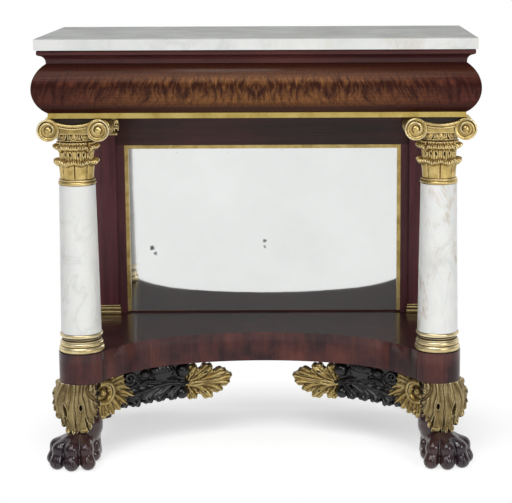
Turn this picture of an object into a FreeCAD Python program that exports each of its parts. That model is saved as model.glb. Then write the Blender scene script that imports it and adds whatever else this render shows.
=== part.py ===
import FreeCAD, Part
import math
import os

# Pier table: marble slab on a half-round frieze, two marble columns and two pilasters
# with a mirror between them, on a platform with a concave front, paw feet and leaf brackets.
# Millimetres, +Z up, the front looks towards -Y. Origin: floor, middle of the overall box.

Vector = FreeCAD.Vector
up = Vector(0, 0, 1)

# Marble slab
marble_width = 1000.0
marble_depth = 470.0
marble_thickness = 26.0
marble_arris = 2.0

# Heights, from the floor up
foot_height = 196.0
apron_height = 51.0
shelf_thickness = 20.0
shaft_length = 349.0
band_height = 12.0
frieze_height = 113.0
cornice_height = 31.0

# Frieze box
neck_inset = 24.0
frieze_bulge = 32.0
frieze_board = 26.0
cavetto_radius = 19.0
back_rail_thickness = 22.0
brace_width = 60.0
glue_block_leg = 40.0

# Columns
column_inset = 82.0
column_setback = 61.0
shaft_bottom_radius = 47.4
shaft_top_radius = 42.0
base_radius = 53.0
base_relief = 2.0
base_collar_radius = 51.0
base_plinth_height = 4.0
base_torus_height = 14.0
base_groove_height = 2.0
base_bead_height = 8.0
base_cove_height = 8.0
base_collar_height = 10.0
astragal_radius = 44.5
astragal_height = 14.0
bell_radius = 38.0
leaf_row_height = 43.0
leaf_reach = 17.0
leaf_curl_radius = 12.0
volute_radius = 26.0
volute_lift = 4.0
volute_spacing = 57.0
volute_depth = 105.0
echinus_radius = 44.0
echinus_height = 20.0
dowel_radius = 9.0
dowel_grip = 40.0
glue_gap = 0.25

# Pilasters and mirror
pilaster_width = 91.0
pilaster_proud = 10.0
pilaster_base_height = 23.0
pilaster_base_reach = 6.0
pilaster_capital_height = 104.0
pilaster_capital_reach = 11.0
pilaster_capital_steps = 3
frame_thickness = 16.0
mirror_thickness = 4.0
mirror_rail_height = 116.0
mirror_stile_width = 21.5
slip_width = 9.0
slip_thickness = 10.0
sill_height = 4.0
sill_depth = 10.0
backboard_thickness = 10.0
backboard_recess = 4.0

# Platform
pad_radius = 54.0
concave_depth = 218.0
concave_radius = 600.0
concave_half_span = 200.0
apron_thickness = 30.0
side_apron_thickness = 25.0

# Front feet: places are outward and forward of the column axis
post_radius = 32.0
toe_radius = 18.0
toe_cut = 1.0
knuckle_height = 38.0
knuckle_setback = 32.0
inner_toe = (-17.0, 82.0)
middle_toe = (19.0, 91.0)
outer_toe = (52.0, 76.0)
side_toe = (65.0, 42.0)
instep_radius = 43.0
instep_place = (16.0, 34.0, 41.0)
heel_radius = 24.0
heel_place = (-16.0, 0.0, 23.0)
calf_swell = 5.0
calf_place = (-8.0, 0.0, 84.0)
knee_bottom = 72.0
knee_bottom_wall = 10.0
knee_middle_drop = 46.0
knee_middle_wall = 22.0
knee_top_wall = 17.0
knee_outward = 9.0
knee_joint = 2.0

# Wing brackets, along the concave front
bracket_setback = 4.0
bracket_depth = 38.0
bracket_height = 94.0
bracket_gap = 148.0
scroll_share = 0.20
fruit_share = 0.45
leaf_tip_drop = 36.0
leaf_root_drop = 4.0
leaf_top_drop = 16.0
leaf_shoulder = 40.0

# Rear feet
rear_foot_radius = 36.0
rear_neck_radius = 20.0
rear_toe_radius = 22.0
rear_toe_height = 8.0
rear_ball_height = 58.0
rear_ring_height = 12.0
rear_block_height = 28.0
rear_foot_setback = 62.0

# Fasteners
foot_dowel_radius = 10.0
screw_radius = 2.0
screw_head_radius = 4.0
screw_head_height = 2.5
screw_bite = 12.0
screw_rows = 4
bracket_screw_radius = 2.5
bracket_screw_grip = 30.0

# Levels that follow from the heights
apron_top = foot_height + apron_height
shelf_top = apron_top + shelf_thickness
base_rings_height = base_torus_height + base_groove_height + base_bead_height
base_height = base_plinth_height + base_rings_height + base_cove_height + base_collar_height
shaft_bottom = shelf_top + base_height
shaft_top = shaft_bottom + shaft_length
bell_top = shaft_top + astragal_height + 2 * leaf_row_height
soffit = bell_top + volute_lift + 2 * volute_radius
frieze_bottom = soffit + band_height
frieze_top = frieze_bottom + frieze_height
marble_bottom = frieze_top + cornice_height
marble_top_level = marble_bottom + marble_thickness

# Places in plan: the box reaches from the longest toe to the back of the slab
half_width = marble_width / 2
toes = (inner_toe, middle_toe, outer_toe, side_toe)
toe_front = max(forward for _, forward in toes) + toe_radius
overall_depth = marble_depth - column_setback + toe_front
back_y = overall_depth / 2
front_y = back_y - marble_depth
column_x = half_width - column_inset
column_y = front_y + column_setback
inner_inset = neck_inset + frieze_board
inner_x = half_width - inner_inset
rail_front = back_y - back_rail_thickness
side_x = column_x + pad_radius
frame_back = back_y - backboard_recess - backboard_thickness
frame_front = frame_back - frame_thickness
pilaster_front = frame_front - pilaster_proud
mirror_front = frame_back - mirror_thickness
pilaster_inner = column_x - pilaster_width / 2
pilaster_outer = column_x + pilaster_width / 2
slip_x = pilaster_inner - mirror_stile_width
sight_x = slip_x - slip_width
slip_top = soffit - mirror_rail_height
sight_top = slip_top - slip_width
rear_foot_y = back_y - rear_foot_setback
calf_radius = post_radius + calf_swell
knee_bottom_radius = post_radius + knee_bottom_wall
knee_middle_radius = post_radius + knee_middle_wall
knee_top_radius = post_radius + knee_top_wall
bracket_bottom = foot_height - bracket_height
scroll_start = column_x - pad_radius
bracket_run = scroll_start - bracket_gap / 2
scroll_end = scroll_start - scroll_share * bracket_run
fruit_end = scroll_end - fruit_share * bracket_run
leaf_end = bracket_gap / 2
both_sides = (-1, 1)


def box(x_range, y_range, z_range):
    """A block between two corners, given in any order."""
    low = Vector(min(x_range), min(y_range), min(z_range))
    high = Vector(max(x_range), max(y_range), max(z_range))
    size = high - low
    return Part.makeBox(size.x, size.y, size.z, low)


def prism(points, bottom, top):
    """A plan polygon raised from one level to another."""
    corners = [Vector(x, y, bottom) for x, y in points]
    wire = Part.makePolygon(corners + corners[:1])
    return Part.Face(wire).extrude(up * (top - bottom))


def post(x, y, radius, bottom, top):
    """A vertical round bar."""
    return Part.makeCylinder(radius, top - bottom, Vector(x, y, bottom), up)


def arc(start, middle, end):
    """An arc edge through three points."""
    return Part.Arc(start, middle, end).toShape()


def line(start, end):
    """A straight edge."""
    return Part.LineSegment(start, end).toShape()


def turned(x, y, edges):
    """A solid turned about the vertical line through x, y. Edges lie in the XZ plane."""
    face = Part.Face(Part.Wire(edges))
    solid = face.revolve(Vector(0, 0, 0), up, 360)
    solid.translate(Vector(x, y, 0))
    return solid


def ring_profile(steps, bottom):
    """Edges of a turned profile. Each step is a height, an end radius and a bead radius or None."""
    level = bottom
    radius = steps[0][1]
    start = Vector(0, 0, level)
    edges = [line(start, Vector(radius, 0, level))]
    for height, end_radius, bead in steps:
        low = Vector(radius, 0, level)
        high = Vector(end_radius, 0, level + height)
        if bead is None and low != high:
            edges.append(line(low, high))
        elif bead is not None:
            edges.append(arc(low, Vector(bead, 0, level + height / 2), high))
        level += height
        radius = end_radius
    top = Vector(0, 0, level)
    edges.append(line(Vector(radius, 0, level), top))
    edges.append(line(top, start))
    return edges


def mirrored(shape):
    """The right-hand twin of a left-hand piece."""
    return shape.mirror(Vector(0, 0, 0), Vector(1, 0, 0))


def save(name, shape):
    """Write one piece."""
    shape.exportStep("parts/" + name + ".step")


def save_group(name, shapes):
    """Write several separate solids as one piece."""
    save(name, Part.makeCompound(shapes))


def save_pair(name, left):
    """Write a left-hand piece and its right-hand twin."""
    save(name + "_left", left)
    save(name + "_right", mirrored(left))


# Mitred mouldings around the front and both sides


def mitre_region(side, bottom, top):
    """The share of the plan that belongs to one side, cut at 45 degrees at the front corners."""
    corner = (-half_width - frieze_bulge, front_y - frieze_bulge)
    inside = (-half_width + 2 * inner_inset, front_y + 2 * inner_inset)
    if side == "front":
        plan = [corner, (-corner[0], corner[1]), (-inside[0], inside[1]), inside]
    else:
        plan = [corner, inside, (inside[0], back_y), (corner[0], back_y)]
    region = prism(plan, bottom, top)
    return mirrored(region) if side == "right" else region


def moulding(side, edges, bottom, top):
    """Run a profile along one side. Profile x is the distance in from the edge of the slab."""
    face = Part.Face(Part.Wire(edges))
    if side == "front":
        run = marble_width + 2 * frieze_bulge
        face.rotate(Vector(0, 0, 0), up, 90)
        face.translate(Vector(run / 2, front_y, 0))
        length = face.extrude(Vector(-run, 0, 0))
    else:
        run = marble_depth + frieze_bulge
        face.translate(Vector(-half_width, back_y, 0))
        length = face.extrude(Vector(0, -run, 0))
        length = mirrored(length) if side == "right" else length
    return length.common(mitre_region(side, bottom, top))


def profile_points(*points):
    """Points of a moulding profile: distance in from the slab's edge, and height."""
    return [Vector(inset, 0, level) for inset, level in points]


def frieze_edges():
    bottom_back, bottom_neck, middle, top_neck, top_back = profile_points(
        (inner_inset, frieze_bottom),
        (neck_inset, frieze_bottom),
        (neck_inset - frieze_bulge, (frieze_bottom + frieze_top) / 2),
        (neck_inset, frieze_top),
        (inner_inset, frieze_top),
    )
    return [
        line(bottom_back, bottom_neck),
        arc(bottom_neck, middle, top_neck),
        line(top_neck, top_back),
        line(top_back, bottom_back),
    ]


def cornice_edges():
    fillet_inset = neck_inset - cavetto_radius
    diagonal = cavetto_radius * math.sqrt(0.5)
    bottom_back, neck, middle, fillet_low, fillet_high, top_back = profile_points(
        (inner_inset, frieze_top),
        (neck_inset, frieze_top),
        (fillet_inset + diagonal, frieze_top + diagonal),
        (fillet_inset, frieze_top + cavetto_radius),
        (fillet_inset, marble_bottom),
        (inner_inset, marble_bottom),
    )
    return [
        line(bottom_back, neck),
        arc(neck, middle, fillet_low),
        line(fillet_low, fillet_high),
        line(fillet_high, top_back),
        line(top_back, bottom_back),
    ]


def band_edges():
    corners = profile_points(
        (inner_inset, soffit),
        (neck_inset, soffit),
        (neck_inset, frieze_bottom),
        (inner_inset, frieze_bottom),
    )
    return [line(a, b) for a, b in zip(corners, corners[1:] + corners[:1])]


def make_frieze_box():
    for side in ("front", "left", "right"):
        save("cornice_" + side, moulding(side, cornice_edges(), frieze_top, marble_bottom))
        save("frieze_" + side, moulding(side, frieze_edges(), frieze_bottom, frieze_top))
        save("gilt_band_" + side, moulding(side, band_edges(), soffit, frieze_bottom))


def make_inner_frame():
    inner_front = front_y + inner_inset
    board = box((-inner_x, inner_x), (inner_front, rail_front), (soffit, frieze_bottom))
    save("soffit_board", board)
    rail = box((-inner_x, inner_x), (rail_front, back_y), (soffit, marble_bottom))
    save("frieze_back_rail", rail)
    brace_x = (-brace_width / 2, brace_width / 2)
    save("medial_brace", box(brace_x, (inner_front, rail_front), (frieze_top, marble_bottom)))
    blocks = []
    for end_x in (-inner_x, inner_x):
        step_x = -math.copysign(glue_block_leg, end_x)
        for end_y, step_y in ((inner_front, glue_block_leg), (rail_front, -glue_block_leg)):
            plan = [(end_x, end_y), (end_x + step_x, end_y), (end_x, end_y + step_y)]
            blocks.append(prism(plan, frieze_bottom, frieze_top))
    save_group("frieze_glue_blocks", blocks)


def make_marble_top():
    slab = box((-half_width, half_width), (front_y, back_y), (marble_bottom, marble_top_level))
    rim = [e for e in slab.Edges if e.BoundBox.ZMin > marble_bottom + marble_thickness / 2]
    save("marble_top", slab.makeChamfer(marble_arris, rim))


# Columns


def dowel_hole(x, y, bottom, top):
    return post(x, y, dowel_radius + glue_gap, bottom, top)


def make_column_bases():
    ring_radius = base_radius - base_relief
    waist_radius = base_collar_radius - base_collar_height / 2
    steps = [
        (base_plinth_height, ring_radius, None),
        (base_torus_height, ring_radius, base_radius),
        (base_groove_height, ring_radius, None),
        (base_bead_height, ring_radius, base_radius),
        (base_cove_height, waist_radius, None),
        (base_collar_height, waist_radius, base_collar_radius),
    ]
    base = turned(-column_x, column_y, ring_profile(steps, shelf_top))
    save_pair("column_base", base.cut(dowel_hole(-column_x, column_y, shelf_top, shaft_bottom)))


def make_column_shafts():
    place = Vector(-column_x, column_y, shaft_bottom)
    shaft = Part.makeCone(shaft_bottom_radius, shaft_top_radius, shaft_length, place, up)
    shaft = shaft.cut(dowel_hole(-column_x, column_y, shaft_bottom, shaft_bottom + dowel_grip))
    shaft = shaft.cut(dowel_hole(-column_x, column_y, shaft_top - dowel_grip, shaft_top))
    save_pair("column_shaft", shaft)


def make_capitals():
    tip_radius = bell_radius + leaf_reach
    curl_start = tip_radius - leaf_curl_radius
    leaf_row = [
        (leaf_row_height - 2 * leaf_curl_radius, curl_start, None),
        (2 * leaf_curl_radius, curl_start, tip_radius),
        (0, bell_radius, None),
    ]
    astragal_neck = astragal_radius - astragal_height / 2
    astragal = [(astragal_height, astragal_neck, astragal_radius), (0, bell_radius, None)]
    steps = astragal + leaf_row + leaf_row
    bell = turned(-column_x, column_y, ring_profile(steps, shaft_top))
    save_pair("capital", bell.cut(dowel_hole(-column_x, column_y, shaft_top, bell_top)))


def make_volute_blocks():
    roll_level = soffit - volute_radius
    front = column_y - volute_depth / 2
    depth = (front, front + volute_depth)
    block = box(
        (-column_x - volute_spacing, -column_x + volute_spacing),
        depth,
        (bell_top + echinus_height, soffit),
    )
    for offset in (-volute_spacing, volute_spacing):
        start = Vector(-column_x + offset, front, roll_level)
        roll = Part.makeCylinder(volute_radius, volute_depth, start, Vector(0, 1, 0))
        block = block.fuse(roll)
    place = Vector(-column_x, column_y, bell_top)
    echinus = Part.makeCone(bell_radius, echinus_radius, echinus_height, place, up)
    block = block.fuse(echinus).removeSplitter()
    hole = dowel_hole(-column_x, column_y, bell_top, soffit)
    save_pair("volute_block", block.cut(hole))


def make_column_dowels():
    low = (apron_top, shaft_bottom + dowel_grip)
    high = (shaft_top - dowel_grip, soffit)
    dowels = []
    for sign in both_sides:
        for bottom, top in (low, high):
            dowels.append(post(sign * column_x, column_y, dowel_radius, bottom, top))
    save_group("column_dowels", dowels)


# Pilasters and mirror


def pilaster_wrap(reach, bottom, top):
    """A band around the front and sides of the left pilaster, up to the mirror frame."""
    outside = box(
        (-pilaster_outer - reach, -pilaster_inner + reach),
        (pilaster_front - reach, frame_front),
        (bottom, top),
    )
    core = box((-pilaster_outer, -pilaster_inner), (pilaster_front, back_y), (bottom, top))
    return outside.cut(core)


def make_pilasters():
    board = box((-pilaster_outer, -pilaster_inner), (pilaster_front, back_y), (shelf_top, soffit))
    save_pair("pilaster", board)
    base = pilaster_wrap(pilaster_base_reach, shelf_top, shelf_top + pilaster_base_height / 2)
    base_upper = pilaster_wrap(
        pilaster_base_reach / 2,
        shelf_top + pilaster_base_height / 2,
        shelf_top + pilaster_base_height,
    )
    save_pair("pilaster_base", base.fuse(base_upper))
    step_height = pilaster_capital_height / pilaster_capital_steps
    capital_bottom = soffit - pilaster_capital_height
    rings = []
    for step in range(pilaster_capital_steps):
        reach = pilaster_capital_reach * (step + 1) / pilaster_capital_steps
        level = capital_bottom + step * step_height
        rings.append(pilaster_wrap(reach, level, level + step_height))
    save_pair("pilaster_capital", rings[0].multiFuse(rings[1:]))


def screw_places():
    """Screw centres in the left stile and along the rail, as x and z."""
    stile_x = (slip_x + pilaster_inner) / 2
    rail_z = (slip_top + soffit) / 2
    spacing = (slip_top - shelf_top) / screw_rows
    places = [(-stile_x, shelf_top + spacing * (row + 0.5)) for row in range(screw_rows)]
    return places + [(-stile_x, rail_z), (-stile_x / 2, rail_z)]


def back_screw(x, z, clearance):
    """One countersunk screw driven from the back, or its hole when a clearance is given."""
    head_y = frame_back + backboard_thickness
    forward = Vector(0, -1, 0)
    start = Vector(x, head_y, z)
    radius = screw_radius + clearance
    length = backboard_thickness + screw_bite + clearance
    shank = Part.makeCylinder(radius, length, start, forward)
    head = Part.makeCone(screw_head_radius + clearance, radius, screw_head_height, start, forward)
    return shank.fuse(head)


def screw_holes():
    left = [back_screw(x, z, glue_gap) for x, z in screw_places()]
    return left + [mirrored(hole) for hole in left]


def make_mirror():
    holes = screw_holes()
    frame_y = (frame_front, frame_back)
    rail = box((-pilaster_inner, pilaster_inner), frame_y, (slip_top, soffit))
    save("mirror_rail", rail.cut(holes))
    stile = box((-pilaster_inner, -slip_x), frame_y, (shelf_top, slip_top))
    save_pair("mirror_stile", stile.cut(holes))
    slip_y = (mirror_front - slip_thickness, mirror_front)
    glass_bottom = shelf_top + sill_height
    save("mirror_slip_top", box((-slip_x, slip_x), slip_y, (sight_top, slip_top)))
    save_pair("mirror_slip", box((-slip_x, -sight_x), slip_y, (glass_bottom, sight_top)))
    sill_y = (frame_back - sill_depth, frame_back)
    save("mirror_sill", box((-slip_x, slip_x), sill_y, (shelf_top, glass_bottom)))
    plate_y = (mirror_front, frame_back)
    save("mirror_plate", box((-slip_x, slip_x), plate_y, (glass_bottom, slip_top)))
    board_y = (frame_back, frame_back + backboard_thickness)
    plank = box((-pilaster_inner, 0), board_y, (shelf_top, soffit)).cut(holes)
    save_group("backboards", [plank, mirrored(plank)])
    left = [back_screw(x, z, 0) for x, z in screw_places()]
    save_group("backboard_screws", left + [mirrored(screw) for screw in left])


# Platform with its concave front


def concave_arcs():
    """Centres and radii of the concave front: one wide arc and, at each end, a tighter one.

    The tighter arc meets the wide one smoothly and touches the pad's circle from outside.
    """
    pad = Vector(-column_x, column_y, 0)
    deepest = column_y - pad_radius + concave_depth
    wide_centre = Vector(0, deepest - concave_radius, 0)
    rise = math.sqrt(concave_radius**2 - concave_half_span**2)
    meeting = wide_centre + Vector(-concave_half_span, rise, 0)
    inward = (wide_centre - meeting) / concave_radius
    gap = meeting - pad
    end_radius = (gap.Length**2 - pad_radius**2) / (2 * pad_radius - 2 * inward.dot(gap))
    end_centre = meeting + inward * end_radius
    return wide_centre, end_centre, end_radius, meeting


def flipped(point):
    return Vector(-point.x, point.y, point.z)


def arc_about(centre, start, end):
    """An arc edge about a centre, the short way from start to end."""
    radius = (start - centre).Length
    middle = (start + end) / 2 - centre
    return arc(start, centre + middle.normalize() * radius, end)


def concave_edges(offset):
    """The concave front from the left pad to the right, moved back by an offset."""
    wide_centre, end_centre, end_radius, meeting = concave_arcs()
    pad = Vector(-column_x, column_y, 0)
    to_pad = (pad - end_centre).normalize()
    to_meeting = (meeting - end_centre).normalize()
    first = end_centre + to_pad * (end_radius + offset)
    second = end_centre + to_meeting * (end_radius + offset)
    edges = [
        arc_about(end_centre, first, second),
        arc_about(wide_centre, second, flipped(second)),
        arc_about(flipped(end_centre), flipped(second), flipped(first)),
    ]
    return edges, first


def concave_wall(near, far, bottom, top):
    """An upright wall along the concave front, between two distances behind it."""
    front, front_end = concave_edges(near)
    back, back_end = concave_edges(far)
    ends = [line(front_end, back_end), line(flipped(front_end), flipped(back_end))]
    wire = Part.Wire(Part.__sortEdges__(front + back + ends))
    wall = Part.Face(wire).extrude(up * (top - bottom))
    wall.translate(up * bottom)
    return wall


def shelf_plan():
    """The outline of the platform: straight back and sides, round pads, concave front."""
    front, touch = concave_edges(0)
    pad = Vector(-column_x, column_y, 0)
    side_front = Vector(-side_x, column_y, 0)
    side_back = Vector(-side_x, back_y, 0)
    start_angle = math.pi
    end_angle = 2 * math.pi + math.atan2(touch.y - pad.y, touch.x - pad.x)
    middle_angle = (start_angle + end_angle) / 2
    pad_front = pad + Vector(math.cos(middle_angle), math.sin(middle_angle), 0) * pad_radius
    edges = [
        line(side_back, side_front),
        arc(side_front, pad_front, touch),
        arc(flipped(touch), flipped(pad_front), flipped(side_front)),
        line(flipped(side_front), flipped(side_back)),
        line(flipped(side_back), side_back),
    ]
    return Part.Wire(Part.__sortEdges__(front + edges))


def make_platform():
    board = Part.Face(shelf_plan()).extrude(up * shelf_thickness)
    board.translate(up * apron_top)
    for sign in both_sides:
        board = board.cut(dowel_hole(sign * column_x, column_y, apron_top, shelf_top))
    save("shelf_board", board)

    pad_space = post(-column_x, column_y, pad_radius + glue_gap, foot_height, apron_top)
    front = concave_wall(0, apron_thickness, foot_height, apron_top)
    front = front.cut([pad_space, mirrored(pad_space)]).cut(bracket_screw_set(glue_gap))
    save("apron_front", front)

    inner = -side_x + side_apron_thickness
    side = box((-side_x, inner), (column_y, back_y), (foot_height, apron_top))
    save_pair("apron", side.cut(pad_space))

    rail = box((inner, -inner), (rail_front, back_y), (foot_height, apron_top))
    save("platform_back_rail", rail)

    pad = post(-column_x, column_y, pad_radius, foot_height, apron_top)
    pad = pad.cut(foot_dowel(-column_x, column_y, glue_gap, foot_height, apron_top))
    save_group("pad_blocks", [pad, mirrored(pad)])

    block = box(
        (inner, -column_x + rear_foot_radius),
        (rail_front, rear_foot_y - rear_foot_radius),
        (foot_height, apron_top),
    )
    block = block.cut(foot_dowel(-column_x, rear_foot_y, glue_gap, foot_height, apron_top))
    save_group("platform_blocks", [block, mirrored(block)])


# Feet


def foot_dowel(x, y, clearance, bottom, top):
    return post(x, y, foot_dowel_radius + clearance, bottom, top)


def foot_point(place, height):
    """A point of the left foot from its outward and forward distances."""
    return Vector(-column_x - place[0], column_y - place[1], height)


def toe(place):
    """A toe: a round tip on the floor, a raised knuckle behind it and a bar between them."""
    back = 1 - knuckle_setback / math.hypot(*place)
    tip = foot_point(place, toe_radius - toe_cut)
    knuckle = foot_point((place[0] * back, place[1] * back), knuckle_height)
    length = (knuckle - tip).Length
    low = Vector(0, 0, -toe_radius)
    high = Vector(0, 0, length + toe_radius)
    bottom = Vector(toe_radius, 0, 0)
    top = Vector(toe_radius, 0, length)
    diagonal = toe_radius * math.sqrt(0.5)
    edges = [
        arc(low, Vector(diagonal, 0, -diagonal), bottom),
        line(bottom, top),
        arc(top, Vector(diagonal, 0, length + diagonal), high),
        line(high, low),
    ]
    capsule = turned(0, 0, edges)
    capsule.Placement = FreeCAD.Placement(tip, FreeCAD.Rotation(up, knuckle - tip))
    return capsule


def make_paws():
    pieces = [toe(place) for place in toes]
    for radius, place in (
        (instep_radius, instep_place),
        (heel_radius, heel_place),
        (calf_radius, calf_place),
    ):
        pieces.append(Part.makeSphere(radius, foot_point(place[:2], place[2])))
    leg = post(-column_x, column_y, post_radius, heel_radius, foot_height)
    paw = leg.multiFuse(pieces)
    reach = marble_depth / 2
    below = box(
        (-column_x - reach, -column_x + reach),
        (column_y - reach, column_y + reach),
        (-foot_height, 0),
    )
    paw = paw.cut(below)
    hole = foot_dowel(-column_x, column_y, glue_gap, foot_height - dowel_grip, foot_height)
    paw = paw.cut(hole)
    save_pair("paw", paw)


def knee_ring(radius, outward, level):
    circle = Part.Circle(Vector(-column_x - outward, column_y, level), up, radius)
    return Part.Wire(circle.toShape())


def make_knees():
    rings = [
        knee_ring(knee_bottom_radius, 0, knee_bottom),
        knee_ring(knee_middle_radius, knee_outward, foot_height - knee_middle_drop),
        knee_ring(knee_top_radius, 0, foot_height),
    ]
    knee = Part.makeLoft(rings, True)
    core = post(-column_x, column_y, post_radius + glue_gap, knee_bottom, foot_height)
    hollow = Part.makeSphere(calf_radius + glue_gap, foot_point(calf_place[:2], calf_place[2]))
    instep = Part.makeSphere(instep_radius + glue_gap, foot_point(instep_place[:2], instep_place[2]))
    knee = knee.cut([core, hollow, instep])
    save_pair("knee", knee)


def make_rear_feet():
    turnings = rear_toe_height + rear_ball_height + rear_ring_height + rear_block_height
    steps = [
        (rear_toe_height, rear_toe_radius, None),
        (rear_ball_height, rear_neck_radius, rear_foot_radius),
        (rear_ring_height, rear_neck_radius, rear_neck_radius + rear_ring_height / 2),
        (foot_height - turnings, rear_foot_radius, None),
        (rear_block_height, rear_foot_radius, None),
    ]
    foot = turned(-column_x, rear_foot_y, ring_profile(steps, 0))
    hole = foot_dowel(-column_x, rear_foot_y, glue_gap, foot_height - dowel_grip, foot_height)
    save_pair("rear_foot", foot.cut(hole))


def make_foot_dowels():
    dowels = []
    for sign in both_sides:
        for y in (column_y, rear_foot_y):
            dowels.append(foot_dowel(sign * column_x, y, 0, foot_height - dowel_grip, apron_top))
    save_group("foot_dowels", dowels)


# Wing brackets


def bracket_length(outline):
    """The part of the bracket wall inside a front outline, given as x and z."""
    wall = concave_wall(bracket_setback, bracket_setback + bracket_depth, 0, foot_height)
    corners = [Vector(x, front_y, z) for x, z in outline]
    sheet = Part.Face(Part.makePolygon(corners + corners[:1]))
    return wall.common(sheet.extrude(Vector(0, marble_depth, 0)))


def bracket_screw(x, clearance):
    """One screw driven up through the bracket into the apron."""
    wide_centre, end_centre, end_radius, meeting = concave_arcs()
    centre, radius = (wide_centre, concave_radius)
    if x < meeting.x:
        centre, radius = (end_centre, end_radius)
    shared = min(apron_thickness, bracket_setback + bracket_depth)
    middle = radius + (bracket_setback + shared) / 2
    y = centre.y + math.sqrt(middle**2 - (x - centre.x) ** 2)
    low = foot_height - bracket_screw_grip
    high = foot_height + bracket_screw_grip
    return post(x, y, bracket_screw_radius + clearance, low - clearance, high + clearance)


def bracket_screw_set(clearance):
    """Two screws in each bracket: one in the scroll, one in the fruit."""
    left = [
        bracket_screw(-(scroll_start + scroll_end) / 2, clearance),
        bracket_screw(-(scroll_end + fruit_end) / 2, clearance),
    ]
    return left + [mirrored(screw) for screw in left]


def make_brackets():
    knee_reach = max(knee_top_radius, knee_middle_radius - knee_outward)
    knee_space = post(-column_x, column_y, knee_reach + knee_joint, 0, foot_height)
    holes = bracket_screw_set(glue_gap) + [knee_space, mirrored(knee_space)]
    lengths = {
        "bracket_scroll": [
            (-column_x, bracket_bottom),
            (-scroll_end, bracket_bottom),
            (-scroll_end, foot_height),
            (-column_x, foot_height),
        ],
        "bracket_fruit": [
            (-scroll_end, bracket_bottom),
            (-fruit_end, bracket_bottom),
            (-fruit_end, foot_height),
            (-scroll_end, foot_height),
        ],
        "bracket_leaf": [
            (-fruit_end, bracket_bottom),
            (-leaf_end - leaf_shoulder, bracket_bottom),
            (-leaf_end, foot_height - leaf_tip_drop),
            (-leaf_end - leaf_shoulder / 2, foot_height - leaf_top_drop),
            (-fruit_end, foot_height - leaf_root_drop),
        ],
    }
    for name, outline in lengths.items():
        save_pair(name, bracket_length(outline).cut(holes))
    save_group("bracket_screws", bracket_screw_set(0))


os.makedirs("parts", exist_ok=True)
make_marble_top()
make_frieze_box()
make_inner_frame()
make_column_bases()
make_column_shafts()
make_capitals()
make_volute_blocks()
make_column_dowels()
make_pilasters()
make_mirror()
make_platform()
make_paws()
make_knees()
make_rear_feet()
make_foot_dowels()
make_brackets()
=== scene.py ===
"""Looks of a classical pier table: carving, veneer, gilding, marble and old glass around the model."""

import functools
import itertools
import math

import bpy
import numpy as np
from mathutils import Matrix, Vector


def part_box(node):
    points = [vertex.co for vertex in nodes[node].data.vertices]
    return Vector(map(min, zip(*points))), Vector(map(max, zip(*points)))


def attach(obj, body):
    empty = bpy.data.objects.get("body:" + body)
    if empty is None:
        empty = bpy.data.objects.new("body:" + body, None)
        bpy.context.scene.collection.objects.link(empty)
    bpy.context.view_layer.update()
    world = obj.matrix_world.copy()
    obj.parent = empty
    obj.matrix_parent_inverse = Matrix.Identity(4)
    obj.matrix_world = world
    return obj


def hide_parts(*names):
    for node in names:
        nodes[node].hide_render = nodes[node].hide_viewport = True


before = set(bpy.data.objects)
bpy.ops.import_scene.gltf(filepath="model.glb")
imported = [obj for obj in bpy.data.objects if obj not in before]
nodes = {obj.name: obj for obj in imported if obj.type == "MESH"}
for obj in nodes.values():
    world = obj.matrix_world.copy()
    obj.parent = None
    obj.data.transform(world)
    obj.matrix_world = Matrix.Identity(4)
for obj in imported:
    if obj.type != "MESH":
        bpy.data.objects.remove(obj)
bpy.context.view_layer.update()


# Sizes in millimetres, read from the model's nodes
metre = 1000


def node_box(name):
    low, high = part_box(name)
    return np.array(low) * metre, np.array(high) * metre


def node_heights(name):
    low, high = node_box(name)
    return low[2], high[2]


def node_middle(name):
    low, high = node_box(name)
    return (low + high) / 2


column_place = node_middle("column_shaft_left") * (1, 1, 0)
bell_bottom, bell_top = node_heights("capital_left")
knee_bottom, knee_top = node_heights("knee_left")
volute_low, volute_high = node_box("volute_block_left")
volute_half_width, volute_half_depth, _ = (volute_high - volute_low) / 2
soffit = volute_high[2]

# Carving and mesh settings
carve_pitch = 1.0
carve_margin = 3
empty_distance = 30.0
turning_steps = 128
quarter_turn = math.pi / 2


# Piece makers
def left_right(*stems):
    return [stem + "_" + side for stem in stems for side in ("left", "right")]


def three_sides(stem):
    return [stem + "_front"] + left_right(stem)


def finish_piece(name, points, faces, slot, paint, replaced, cavity=None, grain=None, sharp=None):
    """Smooth-shaded piece from points in millimetres; edges steeper than sharp degrees stay crisp."""
    mesh = bpy.data.meshes.new(name)
    mesh.from_pydata((np.asarray(points, float) / metre).tolist(), [], [list(face) for face in faces])
    mesh.polygons.foreach_set("use_smooth", np.ones(len(mesh.polygons), bool))
    if cavity is not None:
        mesh.attributes.new("cavity", "FLOAT", "POINT").data.foreach_set("value", cavity.astype(np.float32))
    if grain is not None:
        held = mesh.attributes.new("grain", "FLOAT_VECTOR", "POINT")
        held.data.foreach_set("vector", np.asarray(grain, np.float32).ravel())
    mesh.update()
    if sharp is not None:
        mesh.set_sharp_from_angle(angle=math.radians(sharp))
    piece = bpy.data.objects.new(name, mesh)
    bpy.context.scene.collection.objects.link(piece)
    mesh.materials.append(paint)
    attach(piece, "carcase")
    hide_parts(*replaced)


def pair(stem, points, faces, slot, paint, replaced, cavity, sharp=None):
    """Left piece as given and right piece as its mirror image."""
    mirrored = [face[::-1] for face in faces]
    for side, sign, turned in (("left", 1, faces), ("right", -1, mirrored)):
        places = np.asarray(points) * (sign, 1, 1)
        node = replaced + "_" + side
        finish_piece(stem + "_" + side, places, turned, slot, paint, [node], cavity, sharp=sharp)


def arc(centre, radii, start, end, count):
    """Places on an arc, turned from the first axis towards the second."""
    turns = np.linspace(start, end, count)
    return [(centre[0] + radii[0] * math.cos(t), centre[1] + radii[1] * math.sin(t)) for t in turns]


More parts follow.
